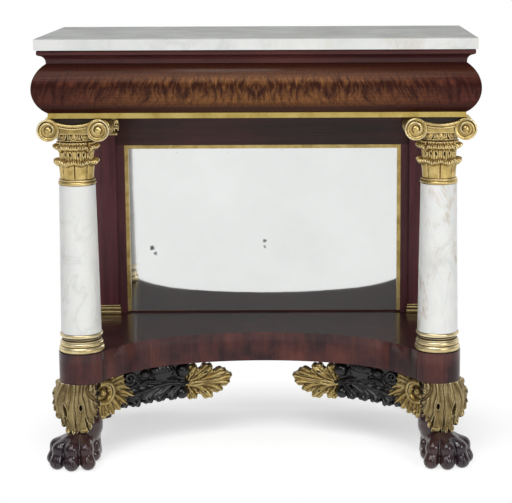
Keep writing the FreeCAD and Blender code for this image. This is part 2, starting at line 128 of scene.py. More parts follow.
def half_round(low, high, root, crest, count):
    """Bead of a profile between two heights, as (outward, height) places."""
    middle, half = (low + high) / 2, (high - low) / 2
    return arc((root, middle), (crest - root, half), -quarter_turn, quarter_turn, count)


def ring_faces(rows, count):
    """Quads between rows of points that close on themselves, with a cap at each end."""
    faces = []
    for row, i in itertools.product(range(rows - 1), range(count)):
        here, after = row * count, (i + 1) % count
        faces.append((here + i, here + after, here + count + after, here + count + i))
    last = range((rows - 1) * count, rows * count)
    return faces + [tuple(range(count))[::-1], tuple(last)]


# Carving stock
def furthest(*gaps):
    """Largest of several distances, place by place: what the shapes have in common."""
    return functools.reduce(np.maximum, gaps)


def smooth_min(a, b, blend):
    if blend <= 0:
        return np.minimum(a, b)
    share = np.clip(0.5 + 0.5 * (b - a) / blend, 0, 1)
    return b + (a - b) * share - blend * share * (1 - share)


class Clay:
    """Carving stock held as signed distances on a grid. Shapes are added to it and cut from it."""

    def __init__(self, low, high):
        self.low = np.array(low, float) - 2 * carve_pitch
        size = np.array(high, float) + 2 * carve_pitch - self.low
        self.counts = np.ceil(size / carve_pitch).astype(int) + 1
        self.axes = [(start + carve_pitch * np.arange(count)).astype(np.float32)
                     for start, count in zip(self.low, self.counts)]
        self.field = np.full(self.counts, empty_distance, np.float32)

    def near(self, shape, blend):
        """Slices of the grid round a shape, and the shape's distances there."""
        distance, low, high = shape
        reach = blend + carve_margin
        first = np.floor((np.array(low) - reach - self.low) / carve_pitch).astype(int)
        last = np.ceil((np.array(high) + reach - self.low) / carve_pitch).astype(int) + 1
        first = np.clip(first, 0, self.counts)
        spans = tuple(slice(*ends) for ends in zip(first, np.clip(last, first, self.counts)))
        places = [axis[span] for axis, span in zip(self.axes, spans)]
        return spans, distance(*np.meshgrid(*places, indexing="ij", sparse=True))

    def add(self, shape, blend=0.0):
        spans, gap = self.near(shape, blend)
        self.field[spans] = smooth_min(self.field[spans], gap, blend)

    def cut(self, shape, blend=0.0):
        spans, gap = self.near(shape, blend)
        self.field[spans] = -smooth_min(-self.field[spans], gap, blend)

    def keep(self, distance):
        """Keeps only what lies inside the given shape."""
        places = np.meshgrid(*self.axes, indexing="ij", sparse=True)
        self.field[:] = np.maximum(self.field, distance(*places))

    def skin(self, smoothing=1):
        """Points, quads and cavity depth of the surface."""
        for axis, end in itertools.product(range(3), (0, -1)):
            side = tuple(end if i == axis else slice(None) for i in range(3))
            self.field[side] = np.maximum(self.field[side], 0.5)
        inside = self.field < 0
        corners = list(itertools.product((0, 1), repeat=3))
        size = np.array(self.field.shape) - 1
        filled = np.zeros(size, np.int8)
        for corner in corners:
            filled += inside[tuple(slice(c, c + s) for c, s in zip(corner, size))]
        cells = np.argwhere((filled > 0) & (filled < len(corners)))
        number = np.full(size, -1, np.int64)
        number[tuple(cells.T)] = np.arange(len(cells))
        quads = cell_quads(inside, number)
        points = relaxed(self.cell_points(cells, corners), quads, smoothing)
        return points, quads, hollowness(points, quads)

    def cell_points(self, cells, corners):
        """Middle of the places where the surface crosses each cell's edges."""
        total = np.zeros((len(cells), 3))
        crossings = np.zeros(len(cells))
        for corner, axis in itertools.product(corners, range(3)):
            if corner[axis]:
                continue
            other = np.array(corner) + np.eye(3, dtype=int)[axis]
            a, b = (self.field[tuple((cells + place).T)].astype(float) for place in (corner, other))
            crossed = (a < 0) != (b < 0)
            point = np.tile(np.array(corner, float), (len(cells), 1))
            point[:, axis] = np.where(crossed, a / np.where(crossed, a - b, 1), 0)
            total[crossed] += point[crossed]
            crossings += crossed
        return self.low + carve_pitch * (cells + total / crossings[:, None])


def cell_quads(inside, number):
    """One quad round each grid edge that crosses the surface, between the numbered cells."""
    quads = []
    steps = np.eye(3, dtype=int)
    for axis in range(3):
        here = tuple(slice(0, -1) if i == axis else slice(1, -1) for i in range(3))
        there = tuple(slice(1, None) if i == axis else slice(1, -1) for i in range(3))
        base = np.argwhere(inside[here] != inside[there]) + 1 - steps[axis]
        b, c = steps[(axis + 1) % 3], steps[(axis + 2) % 3]
        quad = np.stack([number[tuple((base - step).T)] for step in (b + c, c, 0 * b, b)], 1)
        inward = ~inside[tuple(base.T)]
        quad[inward] = quad[inward][:, ::-1]
        quads.append(quad)
    return np.concatenate(quads)


def relaxed(points, quads, rounds):
    """Points moved towards their neighbours' middle, a few times over."""
    for _ in range(rounds):
        total = np.zeros_like(points)
        count = np.zeros(len(points))
        for i, j in itertools.product(range(4), (1, 3)):
            np.add.at(total, quads[:, i], points[quads[:, (i + j) % 4]])
            np.add.at(count, quads[:, i], 1)
        points = 0.4 * points + 0.6 * total / np.maximum(count, 1)[:, None]
    return points


def hollowness(points, quads):
    """How deep each point sits in a hollow, from -1 on a sharp crest to 1 in a deep groove."""
    rounds, full_depth = 6, 0.9
    one, two = points[quads[:, 2]] - points[quads[:, 0]], points[quads[:, 3]] - points[quads[:, 1]]
    face_normals = np.cross(one, two)
    normals = np.zeros_like(points)
    for i in range(4):
        np.add.at(normals, quads[:, i], face_normals)
    normals /= np.maximum(np.linalg.norm(normals, axis=1), 1e-9)[:, None]
    drift = relaxed(points, quads, rounds) - points
    return np.clip((drift * normals).sum(1) / full_depth, -1, 1)


# Carving shapes: each gives a distance function and the box that holds it
def through(points, count):
    """Evenly spread places on a smooth curve through points."""
    points = np.array(points, float)
    if len(points) < 3:
        return points[0] + np.linspace(0, 1, count)[:, None] * (points[-1] - points[0])
    padded = np.vstack([2 * points[0] - points[1], points, 2 * points[-1] - points[-2]])
    out = []
    for t in np.linspace(0, len(points) - 1 - 1e-9, count):
        i, s = int(t), t - int(t)
        a, b, c, d = padded[i:i + 4]
        bend = (2 * a - 5 * b + 4 * c - d) * s ** 2 + (3 * b - a - 3 * c + d) * s ** 3
        out.append(0.5 * (2 * b + (c - a) * s + bend))
    return np.array(out)


def finger(points, radii, flat=1.0, steps=10):
    """Tapered limb along a smooth curve, flattened from front to back."""
    line = through(np.column_stack([np.array(points, float), radii]), steps)
    places, widths = line[:, :3], line[:, 3]
    path = places / (1, flat, 1)

    def distance(x, y, z):
        best = None
        for p, q, width, next_width in zip(path[:-1], path[1:], widths[:-1], widths[1:]):
            v = q - p
            dx, dy, dz = x - p[0], y / flat - p[1], z - p[2]
            t = np.clip((dx * v[0] + dy * v[1] + dz * v[2]) / max(v @ v, 1e-9), 0, 1)
            gap = np.sqrt((dx - t * v[0]) ** 2 + (dy - t * v[1]) ** 2 + (dz - t * v[2]) ** 2)
            gap -= width + t * (next_width - width)
            best = gap if best is None else np.minimum(best, gap)
        return best * math.sqrt(flat)

    reach = widths.max()
    return distance, places.min(0) - reach, places.max(0) + reach


def ball(centre, radii):
    """Ellipsoid."""
    centre, radii = np.array(centre, float), np.array(radii, float)

    def distance(x, y, z):
        axes = zip((x, y, z), centre, radii)
        squares = (((place - middle) / radius) ** 2 for place, middle, radius in axes)
        return (np.sqrt(sum(squares)) - 1) * radii.min()

    return distance, centre - radii, centre + radii


def turned_solid(profile):
    """Solid turned about the upright axis from (radius, height) places."""
    radii, heights = np.array(profile, float).T

    def distance(x, y, z):
        wall = np.sqrt(x ** 2 + y ** 2) - np.interp(z, heights, radii)
        return furthest(wall, heights[0] - z, z - heights[-1])

    reach = radii.max()
    return distance, (-reach, -reach, heights[0]), (reach, reach, heights[-1])


def block(low, high):
    low, high = np.array(low, float), np.array(high, float)

    def distance(x, y, z):
        return furthest(low[0] - x, x - high[0], low[1] - y, y - high[1], low[2] - z, z - high[2])

    return distance, low, high


# Shader helpers
class Level:
    """Output of a shader node, which can be added, taken away, multiplied and divided."""

    def __init__(self, paint, socket):
        self.paint = paint
        self.socket = socket

    def __add__(self, other):
        return self.paint.sum("ADD", self, other)

    def __sub__(self, other):
        return self.paint.sum("SUBTRACT", self, other)

    def __rsub__(self, other):
        return self.paint.sum("SUBTRACT", other, self)

    def __mul__(self, other):
        return self.paint.sum("MULTIPLY", self, other)

    def __truediv__(self, other):
        return self.paint.sum("DIVIDE", self, other)

    def __abs__(self):
        return self.paint.sum("ABSOLUTE", self)

    __radd__ = __add__
    __rmul__ = __mul__


class Paint:
    """Shader tree of a material or of the world."""

    def __init__(self, owner):
        owner.use_nodes = True
        self.owner = owner
        self.tree = owner.node_tree
        self.shader = self.tree.nodes.get("Principled BSDF")

    def put(self, socket, value):
        if isinstance(value, Level):
            self.tree.links.new(value.socket, socket)
        else:
            socket.default_value = value

    def node(self, kind, inputs, output=0, **settings):
        """Makes a node with its settings and inputs, and gives one of its outputs."""
        made = self.tree.nodes.new("ShaderNode" + kind)
        for key, value in settings.items():
            setattr(made, key, value)
        for key, value in inputs.items():
            self.put(made.inputs[key], value)
        return Level(self, made.outputs[output])

    def scaled(self, vector, stretch, turn=(0, 0, 0)):
        return self.node("Mapping", {"Vector": vector, "Scale": stretch, "Rotation": turn})

    def place(self, stretch=(1, 1, 1), turn=(0, 0, 0)):
        """Places on the piece in metres, stretched and turned."""
        return self.scaled(self.node("TexCoord", {}, "Object"), stretch, turn)

    def parts(self, vector):
        """The three coordinates of a place or direction."""
        split = self.node("SeparateXYZ", {"Vector": vector}).socket.node
        return [Level(self, socket) for socket in split.outputs]

    def joined(self, x, y=0.0, z=0.0):
        return self.node("CombineXYZ", {"X": x, "Y": y, "Z": z})

    def held(self, name, output="Fac"):
        """A value stored on the mesh."""
        return self.node("Attribute", {}, output, attribute_name=name)

    def noise(self, vector, scale, detail=4.0, roughness=0.55, distortion=0.0):
        inputs = {"Vector": vector, "Scale": scale, "Detail": detail, "Roughness": roughness,
                  "Distortion": distortion}
        return self.node("TexNoise", inputs, "Fac")

    def ramp(self, value, *stops):
        """Grey levels or colours along a value."""
        made = self.node("ValToRGB", {"Fac": value}, "Color")
        elements = made.socket.node.color_ramp.elements
        while len(elements) < len(stops):
            elements.new(1.0)
        for element, (position, tone) in zip(elements, stops):
            element.position = position
            element.color = (tone, tone, tone, 1) if isinstance(tone, (int, float)) else (*tone, 1)
        return made

    def mix(self, share, *tones):
        """One colour turning into another as the share goes from 0 to 1."""
        first, second = (tone if isinstance(tone, Level) else (*tone, 1) for tone in tones)
        return self.node("Mix", {0: share, 6: first, 7: second}, 2, data_type="RGBA")

    def sum(self, operation, a, b=0.0):
        return self.node("Math", {0: a, 1: b}, operation=operation)

    def most(self, a, b):
        return self.sum("MAXIMUM", a, b)

    def on_top(self, share):
        """The given share on faces that look up, and 0 on upright ones."""
        upward = self.parts(self.node("NewGeometry", {}, "Normal"))[2]
        return self.ramp(upward, (0.5, 0.0), (0.8, share))

    def bump(self, height, depth, strength):
        return self.node("Bump", {"Height": height, "Distance": depth, "Strength": strength})

    def finish(self, **sockets):
        for key, value in sockets.items():
            self.put(self.shader.inputs[key.replace("_", " ")], value)
        return self.owner


def new_paint(name):
    return Paint(bpy.data.materials.new(name))


def darker(tone, share):
    return [share * part for part in tone]


def drawn_out(axis, across, along):
    """Scales of a pattern that is drawn out along one axis."""
    return [along if name == axis else across for name in "xyz"]


# Materials
def gilding(name, low, middle, high, crest_tone, dirt_and_shade_start, metal_most):
    """Old water gilding: crests lightened as rubbed wear and painted highlight, red-brown bole showing
    through, and hollows darkened as dirt and painted shade.
    """
    bole_tone, brown_tone, dirt_and_shade_tone = (0.26, 0.10, 0.035), (0.13, 0.068, 0.020), (0.022, 0.011, 0.005)
    paint = new_paint(name)
    spot = paint.place()
    hollow = paint.held("cavity")
    cloud = paint.noise(spot, 28, 5, 0.6)
    fleck = paint.noise(spot, 420, 3, 0.6)
    gold = paint.ramp(cloud, (0.32, low), (0.52, middle), (0.72, high))
    # Rubbed wear and painted highlight: crests are lightened
    gold = paint.mix(paint.ramp(-1.0 * hollow, (0.10, 0.0), (0.6, 0.8)), gold, crest_tone)
    bole = paint.ramp(paint.noise(spot, 85, 6, 0.7), (0.60, 0.0), (0.70, 0.5))
    gold = paint.mix(bole, gold, bole_tone)
    # Dirt and painted shade: hollows turn brown, then dark
    dirt_and_shade_level = hollow + 0.25 * cloud
    dirt_and_shade = paint.ramp(dirt_and_shade_level, (dirt_and_shade_start, 0.0), (dirt_and_shade_start + 0.27, 1.0))
    brown = paint.ramp(dirt_and_shade_level, (dirt_and_shade_start - 0.04, 0.0), (dirt_and_shade_start + 0.16, 0.85))
    colour = paint.mix(dirt_and_shade, paint.mix(brown, gold, brown_tone), dirt_and_shade_tone)
    metal = paint.ramp(dirt_and_shade, (0.0, metal_most), (0.8, 0.1))
    rough = paint.ramp(fleck + 0.5 * dirt_and_shade, (0.25, 0.24), (0.95, 0.55))
    return paint.finish(Base_Color=colour, Metallic=metal, Roughness=rough,
                        Normal=paint.bump(fleck + 2.0 * cloud, 0.0004, 0.5))


def mahogany(name, axis, dark, warm, streak=1.0, blotch=0.35, coat=0.22, coat_rough=0.09, top_shade_share=0.0):
    """Polished mahogany with its grain along one axis: ribbons, fine streaks and pores."""
    plain_blotch = 0.35
    paint = new_paint(name)
    ribbon = paint.noise(paint.place(drawn_out(axis, 34, 2.04)), 1.0, 5, 0.6, 0.6)
    lines = paint.noise(paint.place(drawn_out(axis, 420, 8.4)), 1.0, 3, 0.6, 0.3)
    pore = paint.noise(paint.place(drawn_out(axis, 1500, 45)), 1.0, 2, 0.5)
    cloud = paint.noise(paint.place(), 5.0 + 12 * (blotch - plain_blotch), 4, 0.55)
    level = 0.75 * streak * ribbon + 0.25 * streak * lines + blotch * cloud - 0.5 * (blotch - plain_blotch)
    middle = [0.55 * a + 0.45 * b for a, b in zip(dark, warm)]
    colour = paint.ramp(level, (0.42, dark), (0.66, middle), (0.9, warm))
    black_pores = paint.ramp(pore, (0.62, 0.0), (0.70, 0.6))
    colour = paint.mix(black_pores, colour, darker(dark, 0.3))
    # Painted shade: faces that look up are darkened
    if top_shade_share:
        colour = paint.mix(paint.on_top(top_shade_share), colour, darker(dark, 0.6))
    return paint.finish(Base_Color=colour, Roughness=paint.ramp(lines, (0.3, 0.26), (0.8, 0.40)),
                        Specular_IOR_Level=0.22, Coat_Weight=coat, Coat_Roughness=coat_rough,
                        Normal=paint.bump(1.5 * cloud - 0.15 * black_pores, 0.0006, 0.35))


def flame_mahogany():
    """Crotch veneer in mirrored halves: plumes hang from a line above the middle and fray into streaks."""
    plume_tone, line_tone, edge_shade_tone = (0.024, 0.0068, 0.0056), (0.030, 0.009, 0.006), (0.030, 0.008, 0.006)
    gold_tones = (0.170, 0.066, 0.022), (0.290, 0.124, 0.042)
    red_tones = (0.060, 0.0145, 0.0125), (0.122, 0.034, 0.021)
    upper_tones = (0.036, 0.0095, 0.005), (0.075, 0.0235, 0.0085)
    paint = new_paint("flame_mahogany")
    run, around, _ = paint.parts(paint.held("grain", "Vector"))
    mirrored = abs(run)
    flat_place = paint.joined(mirrored, around)
    wander = paint.noise(paint.scaled(flat_place, (14, 1.2, 1)), 1.0, 3, 0.5)
    # Plumes lean outwards as they fall, more so near the ends
    lean = (0.3 - around) * paint.ramp(mirrored, (0.0, 0.006), (0.5, 0.028))
    plume_run = mirrored + 0.035 * wander - lean
    crown = paint.noise(paint.joined(plume_run), 52.0, 3, 0.5)
    level = 0.5 * (around + 0.9 * (crown - 0.5)) + 0.56
    depth = paint.ramp(level, (0.14, 0.04), (0.38, 0.24), (0.53, 0.54), (0.63, 0.64), (0.74, 0.22),
                       (0.86, 0.0))
    streak_place = paint.joined(plume_run, 0.016 * around)
    streaks = paint.noise(streak_place, 120.0, 5, 0.62, 0.25)
    fine = paint.noise(streak_place, 420.0, 3, 0.6)
    plume = paint.ramp(0.9 * streaks + 0.55 * depth, (0.52, 0.0), (0.82, 0.93))
    band = paint.noise(paint.scaled(flat_place, (4, 22, 1)), 1.0, 5, 0.6, 0.5)
    gold, red, upper = (paint.ramp(band, (0.30, tones[0]), (0.70, tones[1]))
                        for tones in (gold_tones, red_tones, upper_tones))
    colour = paint.mix(paint.ramp(mirrored, (0.12, 0.0), (0.46, 1.0)), gold, red)
    colour = paint.mix(paint.ramp(around, (0.26, 0.0), (0.52, 0.80)), colour, upper)
    colour = paint.mix(plume, colour, plume_tone)
    colour = paint.mix(paint.ramp(fine, (0.40, 0.45), (0.55, 0.0)), colour, line_tone)
    # Painted shade: the top and, more so, the bottom of the half-round are darkened
    edge = paint.ramp(paint.most(around, -1.2 * around), (0.50, 0.0), (0.85, 0.88))
    colour = paint.mix(edge, colour, edge_shade_tone)
    return paint.finish(Base_Color=colour, Roughness=paint.ramp(fine, (0.3, 0.20), (0.8, 0.32)),
                        Specular_IOR_Level=0.05, Coat_Weight=0.07, Coat_Roughness=0.08,
                        Normal=paint.bump(band + streaks, 0.0004, 0.25))


def marble(name, pale, grey, vein_tone, veins_share, stain, worn_and_top_shade, gloss, vein_scale):
    """White marble with grey clouds, veins, rusty stains on the table's right, and a top that is rougher
    from wear and greyed by painted shade.
    """
    rust_tone = (0.43, 0.34, 0.21)
    top_shade_tones = (0.080, 0.085, 0.080), (0.176, 0.182, 0.168)
    paint = new_paint(name)
    spot = paint.place((1, 1, 0.7), (0.5, 0.3, 0.2))
    cloud = paint.noise(spot, vein_scale, 6, 0.62, 0.8)
    colour = paint.ramp(cloud, (0.36, grey), (0.58, pale))
    ridge = abs(paint.noise(spot, vein_scale * 0.8, 7, 0.6, 1.6) - 0.5)
    veins = paint.ramp(ridge, (0.0, 0.75 * veins_share), (0.018, 0.3 * veins_share), (0.05, 0.0))
    patches = paint.ramp(paint.noise(spot, vein_scale * 0.5, 2), (0.48, 0.0), (0.62, 1.0))
    colour = paint.mix(veins * patches, colour, vein_tone)
    aside = paint.parts(paint.place())[0]
    right = paint.ramp(0.9 * aside + 0.5, (0.35, 0.08), (0.75, 1.0))
    rust = paint.noise(paint.place((1, 1, 0.45)), vein_scale * 1.3, 8, 0.7, 0.6)
    rust = paint.ramp(rust, (0.49, 0.0), (0.60, 0.85)) * right
    colour = paint.mix(stain * rust, colour, rust_tone)
    # Painted shade: faces that look up are greyed to stand in for how the light falls on the top; the
    # rougher top is wear
    if worn_and_top_shade:
        top_shade_cloud = paint.noise(paint.place(), 9, 6, 0.65)
        painted_top_shade = paint.ramp(top_shade_cloud, (0.40, top_shade_tones[0]), (0.62, top_shade_tones[1]))
        colour = paint.mix(paint.on_top(worn_and_top_shade), colour, painted_top_shade)
    rough = paint.ramp(cloud, (0.3, 0.24 + 0.24 * worn_and_top_shade), (0.7, 0.38 + 0.24 * worn_and_top_shade))
    paint.shader.subsurface_method = "RANDOM_WALK"
    return paint.finish(Base_Color=colour, Roughness=rough, Subsurface_Weight=0.12, Subsurface_Scale=0.004,
                        Specular_IOR_Level=gloss, Coat_Weight=0.3 * gloss, Coat_Roughness=0.2,
                        Normal=paint.bump(cloud, 0.0006, 0.25))


def old_mirror():
    """Old silvered glass, a little hazy, with dark specks where the silver has gone."""
    half_width, _, top = node_box("mirror_plate")[1] / metre
    # The larger spots: aside, height and size in metres
    spots = ((-0.286, 0.435, 0.004), (-0.278, 0.421, 0.002), (0.003, 0.452, 0.002), (0.003, 0.437, 0.0015))
    paint = new_paint("old_mirror")
    spot = paint.place()
    specks = paint.ramp(paint.noise(spot, 46, 7, 0.75), (0.735, 0.0), (0.755, 1.0))
    aside, _, height = paint.parts(spot)
    rim = paint.ramp(paint.most(abs(aside) / half_width, height / top), (0.93, 0.0), (1.0, 1.0))
    loss = paint.ramp(paint.noise(spot, 70, 8, 0.8) + 0.12 * rim, (0.71, 0.0), (0.75, 1.0))
    bare = paint.most(specks, loss)
    ragged = 0.016 * paint.noise(spot, 160, 5, 0.8)
    flat_place = paint.joined(aside, 0.0, height)
    for x, z, size in spots:
        away = paint.node("VectorMath", {0: flat_place, 1: (x, 0, z)}, "Value", operation="DISTANCE")
        bare = paint.most(bare, paint.ramp(away - size + ragged, (0.007, 1.0), (0.0095, 0.0)))
    haze = paint.noise(spot, 3.5, 4, 0.6)
    silver = paint.ramp(haze, (0.3, (0.75, 0.765, 0.755)), (0.7, (0.83, 0.84, 0.83)))
    return paint.finish(Base_Color=paint.mix(bare, silver, (0.05, 0.045, 0.04)),
                        Metallic=paint.ramp(bare, (0.0, 1.0), (1.0, 0.2)),
                        Roughness=paint.ramp(haze, (0.3, 0.03), (0.75, 0.08)) + 0.4 * bare,
                        Normal=paint.bump(haze, 0.002, 0.12))


def dark_carving(name, black, brown, crest_tone, coat, bare=None):
    """Ebonised carving under old varnish, browner on its crests and, given a bare tone, at the back."""
    paint = new_paint(name)
    spot = paint.place()
    hollow = paint.held("cavity")
    cloud = paint.noise(spot, 34, 5, 0.6)
    colour = paint.ramp(cloud, (0.36, black), (0.68, brown))
    colour = paint.mix(paint.ramp(0.3 * cloud - hollow, (0.30, 0.0), (0.85, 0.65)), colour, crest_tone)
    if bare:
        aside, backward, _ = paint.parts(spot)
        heel = paint.ramp(backward + 0.03 * cloud + 0.5, (0.325, 0.0), (0.365, 0.85))
        inner = paint.ramp(abs(aside) + 0.04 * cloud, (0.42, 0.7), (0.47, 0.0))
        colour = paint.mix(paint.most(heel, inner), colour, bare)
    colour = paint.mix(paint.ramp(hollow, (0.30, 0.0), (0.9, 0.5)), colour, darker(black, 0.35))
    fleck = paint.noise(spot, 300, 4, 0.65)
    return paint.finish(Base_Color=colour, Roughness=paint.ramp(fleck, (0.3, 0.26), (0.8, 0.46)),
                        Specular_IOR_Level=0.14, Coat_Weight=coat, Coat_Roughness=0.07,
                        Normal=paint.bump(fleck + cloud, 0.0005, 0.35))


def plain_wood(name, axis):
    """Sawn pine, unpolished, with grain along one axis."""
    pale, dark = (0.34, 0.205, 0.10), (0.20, 0.11, 0.05)
    paint = new_paint(name)
    rings = paint.noise(paint.place(drawn_out(axis, 70, 3)), 1.0, 5, 0.6, 0.8)
    fibre = paint.noise(paint.place(drawn_out(axis, 500, 25)), 1.0, 3)
    colour = paint.ramp(rings, (0.32, dark), (0.7, pale))
    grime = paint.ramp(paint.noise(paint.place(), 6, 4), (0.4, 0.0), (0.75, 0.5))
    return paint.finish(Base_Color=paint.mix(grime, colour, darker(dark, 0.45)),
                        Roughness=paint.ramp(fibre, (0.3, 0.62), (0.7, 0.82)),
                        Normal=paint.bump(fibre, 0.0008, 0.5))


def iron():
    """Old blackened screws."""
    paint = new_paint("old_iron")
    rust = paint.noise(paint.place(), 240, 5, 0.7)
    colour = paint.ramp(rust, (0.40, (0.05, 0.048, 0.045)), (0.68, (0.14, 0.065, 0.03)))
    return paint.finish(Base_Color=colour, Metallic=paint.ramp(rust, (0.45, 0.9), (0.65, 0.2)),
                        Roughness=paint.ramp(rust, (0.3, 0.4), (0.7, 0.75)),
                        Normal=paint.bump(rust, 0.0004, 0.5))


# Gilding from low to high, tone of its crests (rubbed wear and painted highlight), level where dirt and
# painted shade start, share of metal
gilt = gilding("old_gilding", (0.185, 0.116, 0.034), (0.33, 0.234, 0.075), (0.47, 0.36, 0.145),
               (0.76, 0.66, 0.39), 0.21, 0.85)
knee_gilt = gilding("dull_gilding", (0.150, 0.102, 0.036), (0.250, 0.183, 0.073), (0.38, 0.300, 0.14),
                    (0.74, 0.66, 0.43), 0.235, 0.82)
bright_gilt = gilding("bright_gilding", (0.34, 0.234, 0.070), (0.59, 0.432, 0.154), (0.75, 0.59, 0.265),
                      (0.96, 0.86, 0.58), 0.21, 0.90)
base_gilt = gilding("base_gilding", (0.44, 0.330, 0.140), (0.68, 0.550, 0.280), (0.82, 0.71, 0.43),
                    (0.97, 0.90, 0.70), 0.21, 0.90)
band_gilt = gilding("band_gilding", (0.46, 0.330, 0.088), (0.58, 0.435, 0.130), (0.68, 0.53, 0.19),
                    (0.94, 0.84, 0.55), 0.30, 0.90)

# Woods, from a dark tone to a warm one
plain_tones = (0.019, 0.0056, 0.0068), (0.082, 0.0235, 0.0185)
apron_tones = (0.024, 0.0072, 0.0092), (0.146, 0.041, 0.030)
# Painted light: pilasters and stiles are painted lighter than the plain mahogany to stand in for light
# under the frieze's shade, and given a more purple tone
lightened_pilaster_tones = (0.034, 0.0100, 0.0155), (0.140, 0.041, 0.045)
cornice_tones = (0.028, 0.0076, 0.0095), (0.116, 0.031, 0.026)
upright_wood = mahogany("mahogany_upright", "z", *plain_tones)
apron_wood = mahogany("mahogany_apron", "z", *apron_tones, streak=0.8, blotch=1.0, coat=0.14)
shelf_wood = mahogany("mahogany_shelf", "z", *apron_tones, streak=0.8, blotch=1.0, coat=0.34,
                      coat_rough=0.03, top_shade_share=0.7)
lightened_pilaster_wood = mahogany("mahogany_pilaster_lightened", "z", *lightened_pilaster_tones)
long_wood = mahogany("mahogany_long", "x", *plain_tones)
cornice_wood = mahogany("mahogany_cornice", "x", *cornice_tones, coat=0.08, coat_rough=0.12)
flame_wood = flame_mahogany()
pine_upright = plain_wood("pine_upright", "z")
pine_long = plain_wood("pine_long", "x")

# Stone, glass, dark carving and iron
column_stone = marble("column_marble", (0.79, 0.79, 0.76), (0.72, 0.725, 0.705), (0.52, 0.52, 0.50),
                      veins_share=0.5, stain=1.0, worn_and_top_shade=0.0, gloss=0.4, vein_scale=9)
slab_stone = marble("slab_marble", (0.70, 0.70, 0.68), (0.62, 0.63, 0.61), (0.40, 0.41, 0.40),
                    veins_share=0.4, stain=0.25, worn_and_top_shade=0.75, gloss=0.12, vein_scale=5)
glass = old_mirror()
paw_paint = dark_carving("dark_paw", (0.012, 0.0066, 0.0112), (0.032, 0.0145, 0.0205),
                         (0.080, 0.042, 0.050), coat=0.9, bare=(0.050, 0.018, 0.015))
leaf_paint = dark_carving("dark_leaf", (0.0035, 0.0032, 0.0036), (0.010, 0.008, 0.008),
                          (0.036, 0.029, 0.025), coat=0.6)
iron_paint = iron()

# Materials of the model's own nodes
node_paints = {
    slab_stone: ["marble_top"],
    long_wood: ["mirror_rail", "soffit_board", "mirror_sill"],
    cornice_wood: three_sides("cornice"),
    flame_wood: three_sides("frieze"),
    upright_wood: left_right("rear_foot"),
    apron_wood: three_sides("apron") + ["pad_blocks"],
    shelf_wood: ["shelf_board"],
    lightened_pilaster_wood: left_right("pilaster", "mirror_stile"),
    gilt: left_right("bracket_scroll", "bracket_leaf"),
    knee_gilt: left_right("knee"),
    band_gilt: three_sides("gilt_band"),
    bright_gilt: left_right("volute_block", "capital", "pilaster_capital", "pilaster_base", "mirror_slip")
    + ["mirror_slip_top"],
    base_gilt: left_right("column_base"),
    column_stone: left_right("column_shaft"),
    glass: ["mirror_plate"],
    paw_paint: left_right("paw"),
    leaf_paint: left_right("bracket_fruit"),
    pine_upright: ["backboards", "platform_blocks", "frieze_glue_blocks", "column_dowels", "foot_dowels"],
    pine_long: ["frieze_back_rail", "platform_back_rail", "medial_brace"],
    iron_paint: ["backboard_screws", "bracket_screws"],
}
for paint, names in node_paints.items():
    for name in names:
        nodes[name].data.materials.clear()
        nodes[name].data.materials.append(paint)


# Front feet: dark paws under gilt acanthus knees, carved in foot space (outward, forward, height)
toe_places = ((-18, 82), (19, 90), (54, 76), (66, 40))
toe_radius = 18.5
inner_face = 37
# Height, radius and outward shift of the knee's core
knee_rows = ((knee_bottom - 10, 40, 5), (96, 45, 8), (122, 50, 10), (150, 53, 11), (176, 52, 9),
             (knee_top, 48.5, 6))
knee_heights, knee_radii, knee_shifts = np.array(knee_rows).T
# Turn of the front leaf, turn between flutes, eyes (turn, height, half sizes) and lower edge
leaf_axis = 6
flute_turn = 12.25
eyes = ((25, 132, 5.0, 15), (-18, 140, 3.6, 7))
leaf_outline = ((0, knee_bottom - 5), (30, knee_bottom), (37, 82), (48, 94), (62, 108), (76, 128),
                (90, 160))


def foot_to_table(points):
    """Foot space to the left foot's place in the table."""
    return column_place + points * (-1, -1, 1)


def add_toe(clay, outward, forward):
    """Toe with a knuckle and a rounded tip."""
    root = (8 + 0.34 * outward, 12 + 0.44 * forward, 58)
    knuckle = (3 + 0.84 * outward, 2 + 0.86 * forward, 46)
    tip = (outward, forward, toe_radius - 1.5)
    clay.add(finger((root, knuckle), (15.5, 17.5), steps=3), 9)
    clay.add(ball(knuckle, (18, 18, 17)), 4)
    clay.add(finger((knuckle, tip), (15.8, 15.4), steps=3), 4)
    clay.add(ball(tip, (toe_radius - 0.7, toe_radius - 0.7, toe_radius - 1.5)), 5)


def cut_cleft(clay, toe, next_toe):
    """Cleft between two toes."""
    middle = (np.array(toe) + next_toe) / 2
    cleft = [(*(0.74 * middle + (3, 5)), 68), (*(0.90 * middle + (1, 2)), 59), (*(1.05 * middle), 42),
             (*(1.10 * middle), 4)]
    clay.cut(finger(cleft, (0.6, 2.4, 3.4, 3.8), steps=10), 1.8)


def cut_strands(clay, outward, forward):
    """Faint strands that run down over a toe."""
    along = np.array((outward, forward)) / math.hypot(outward, forward)
    across = np.array((-along[1], along[0]))
    for aside in (-8, 0, 8):
        bow = 0.05 * aside ** 2
        rows = ((-16, 0.8, 66 - bow), (-6, 0.9, 63 - bow), (6 - bow, 1, 51), (12 - bow, 1, 36),
                (18 - bow, 1, 20), (15 - bow, 1, 5))
        strand = [(*((outward, forward) + ahead * along + share * aside * across), height)
                  for ahead, share, height in rows]
        clay.cut(finger(strand, (0.2, 0.3, 0.5, 0.6, 0.9, 0.3), steps=14), 2.0)


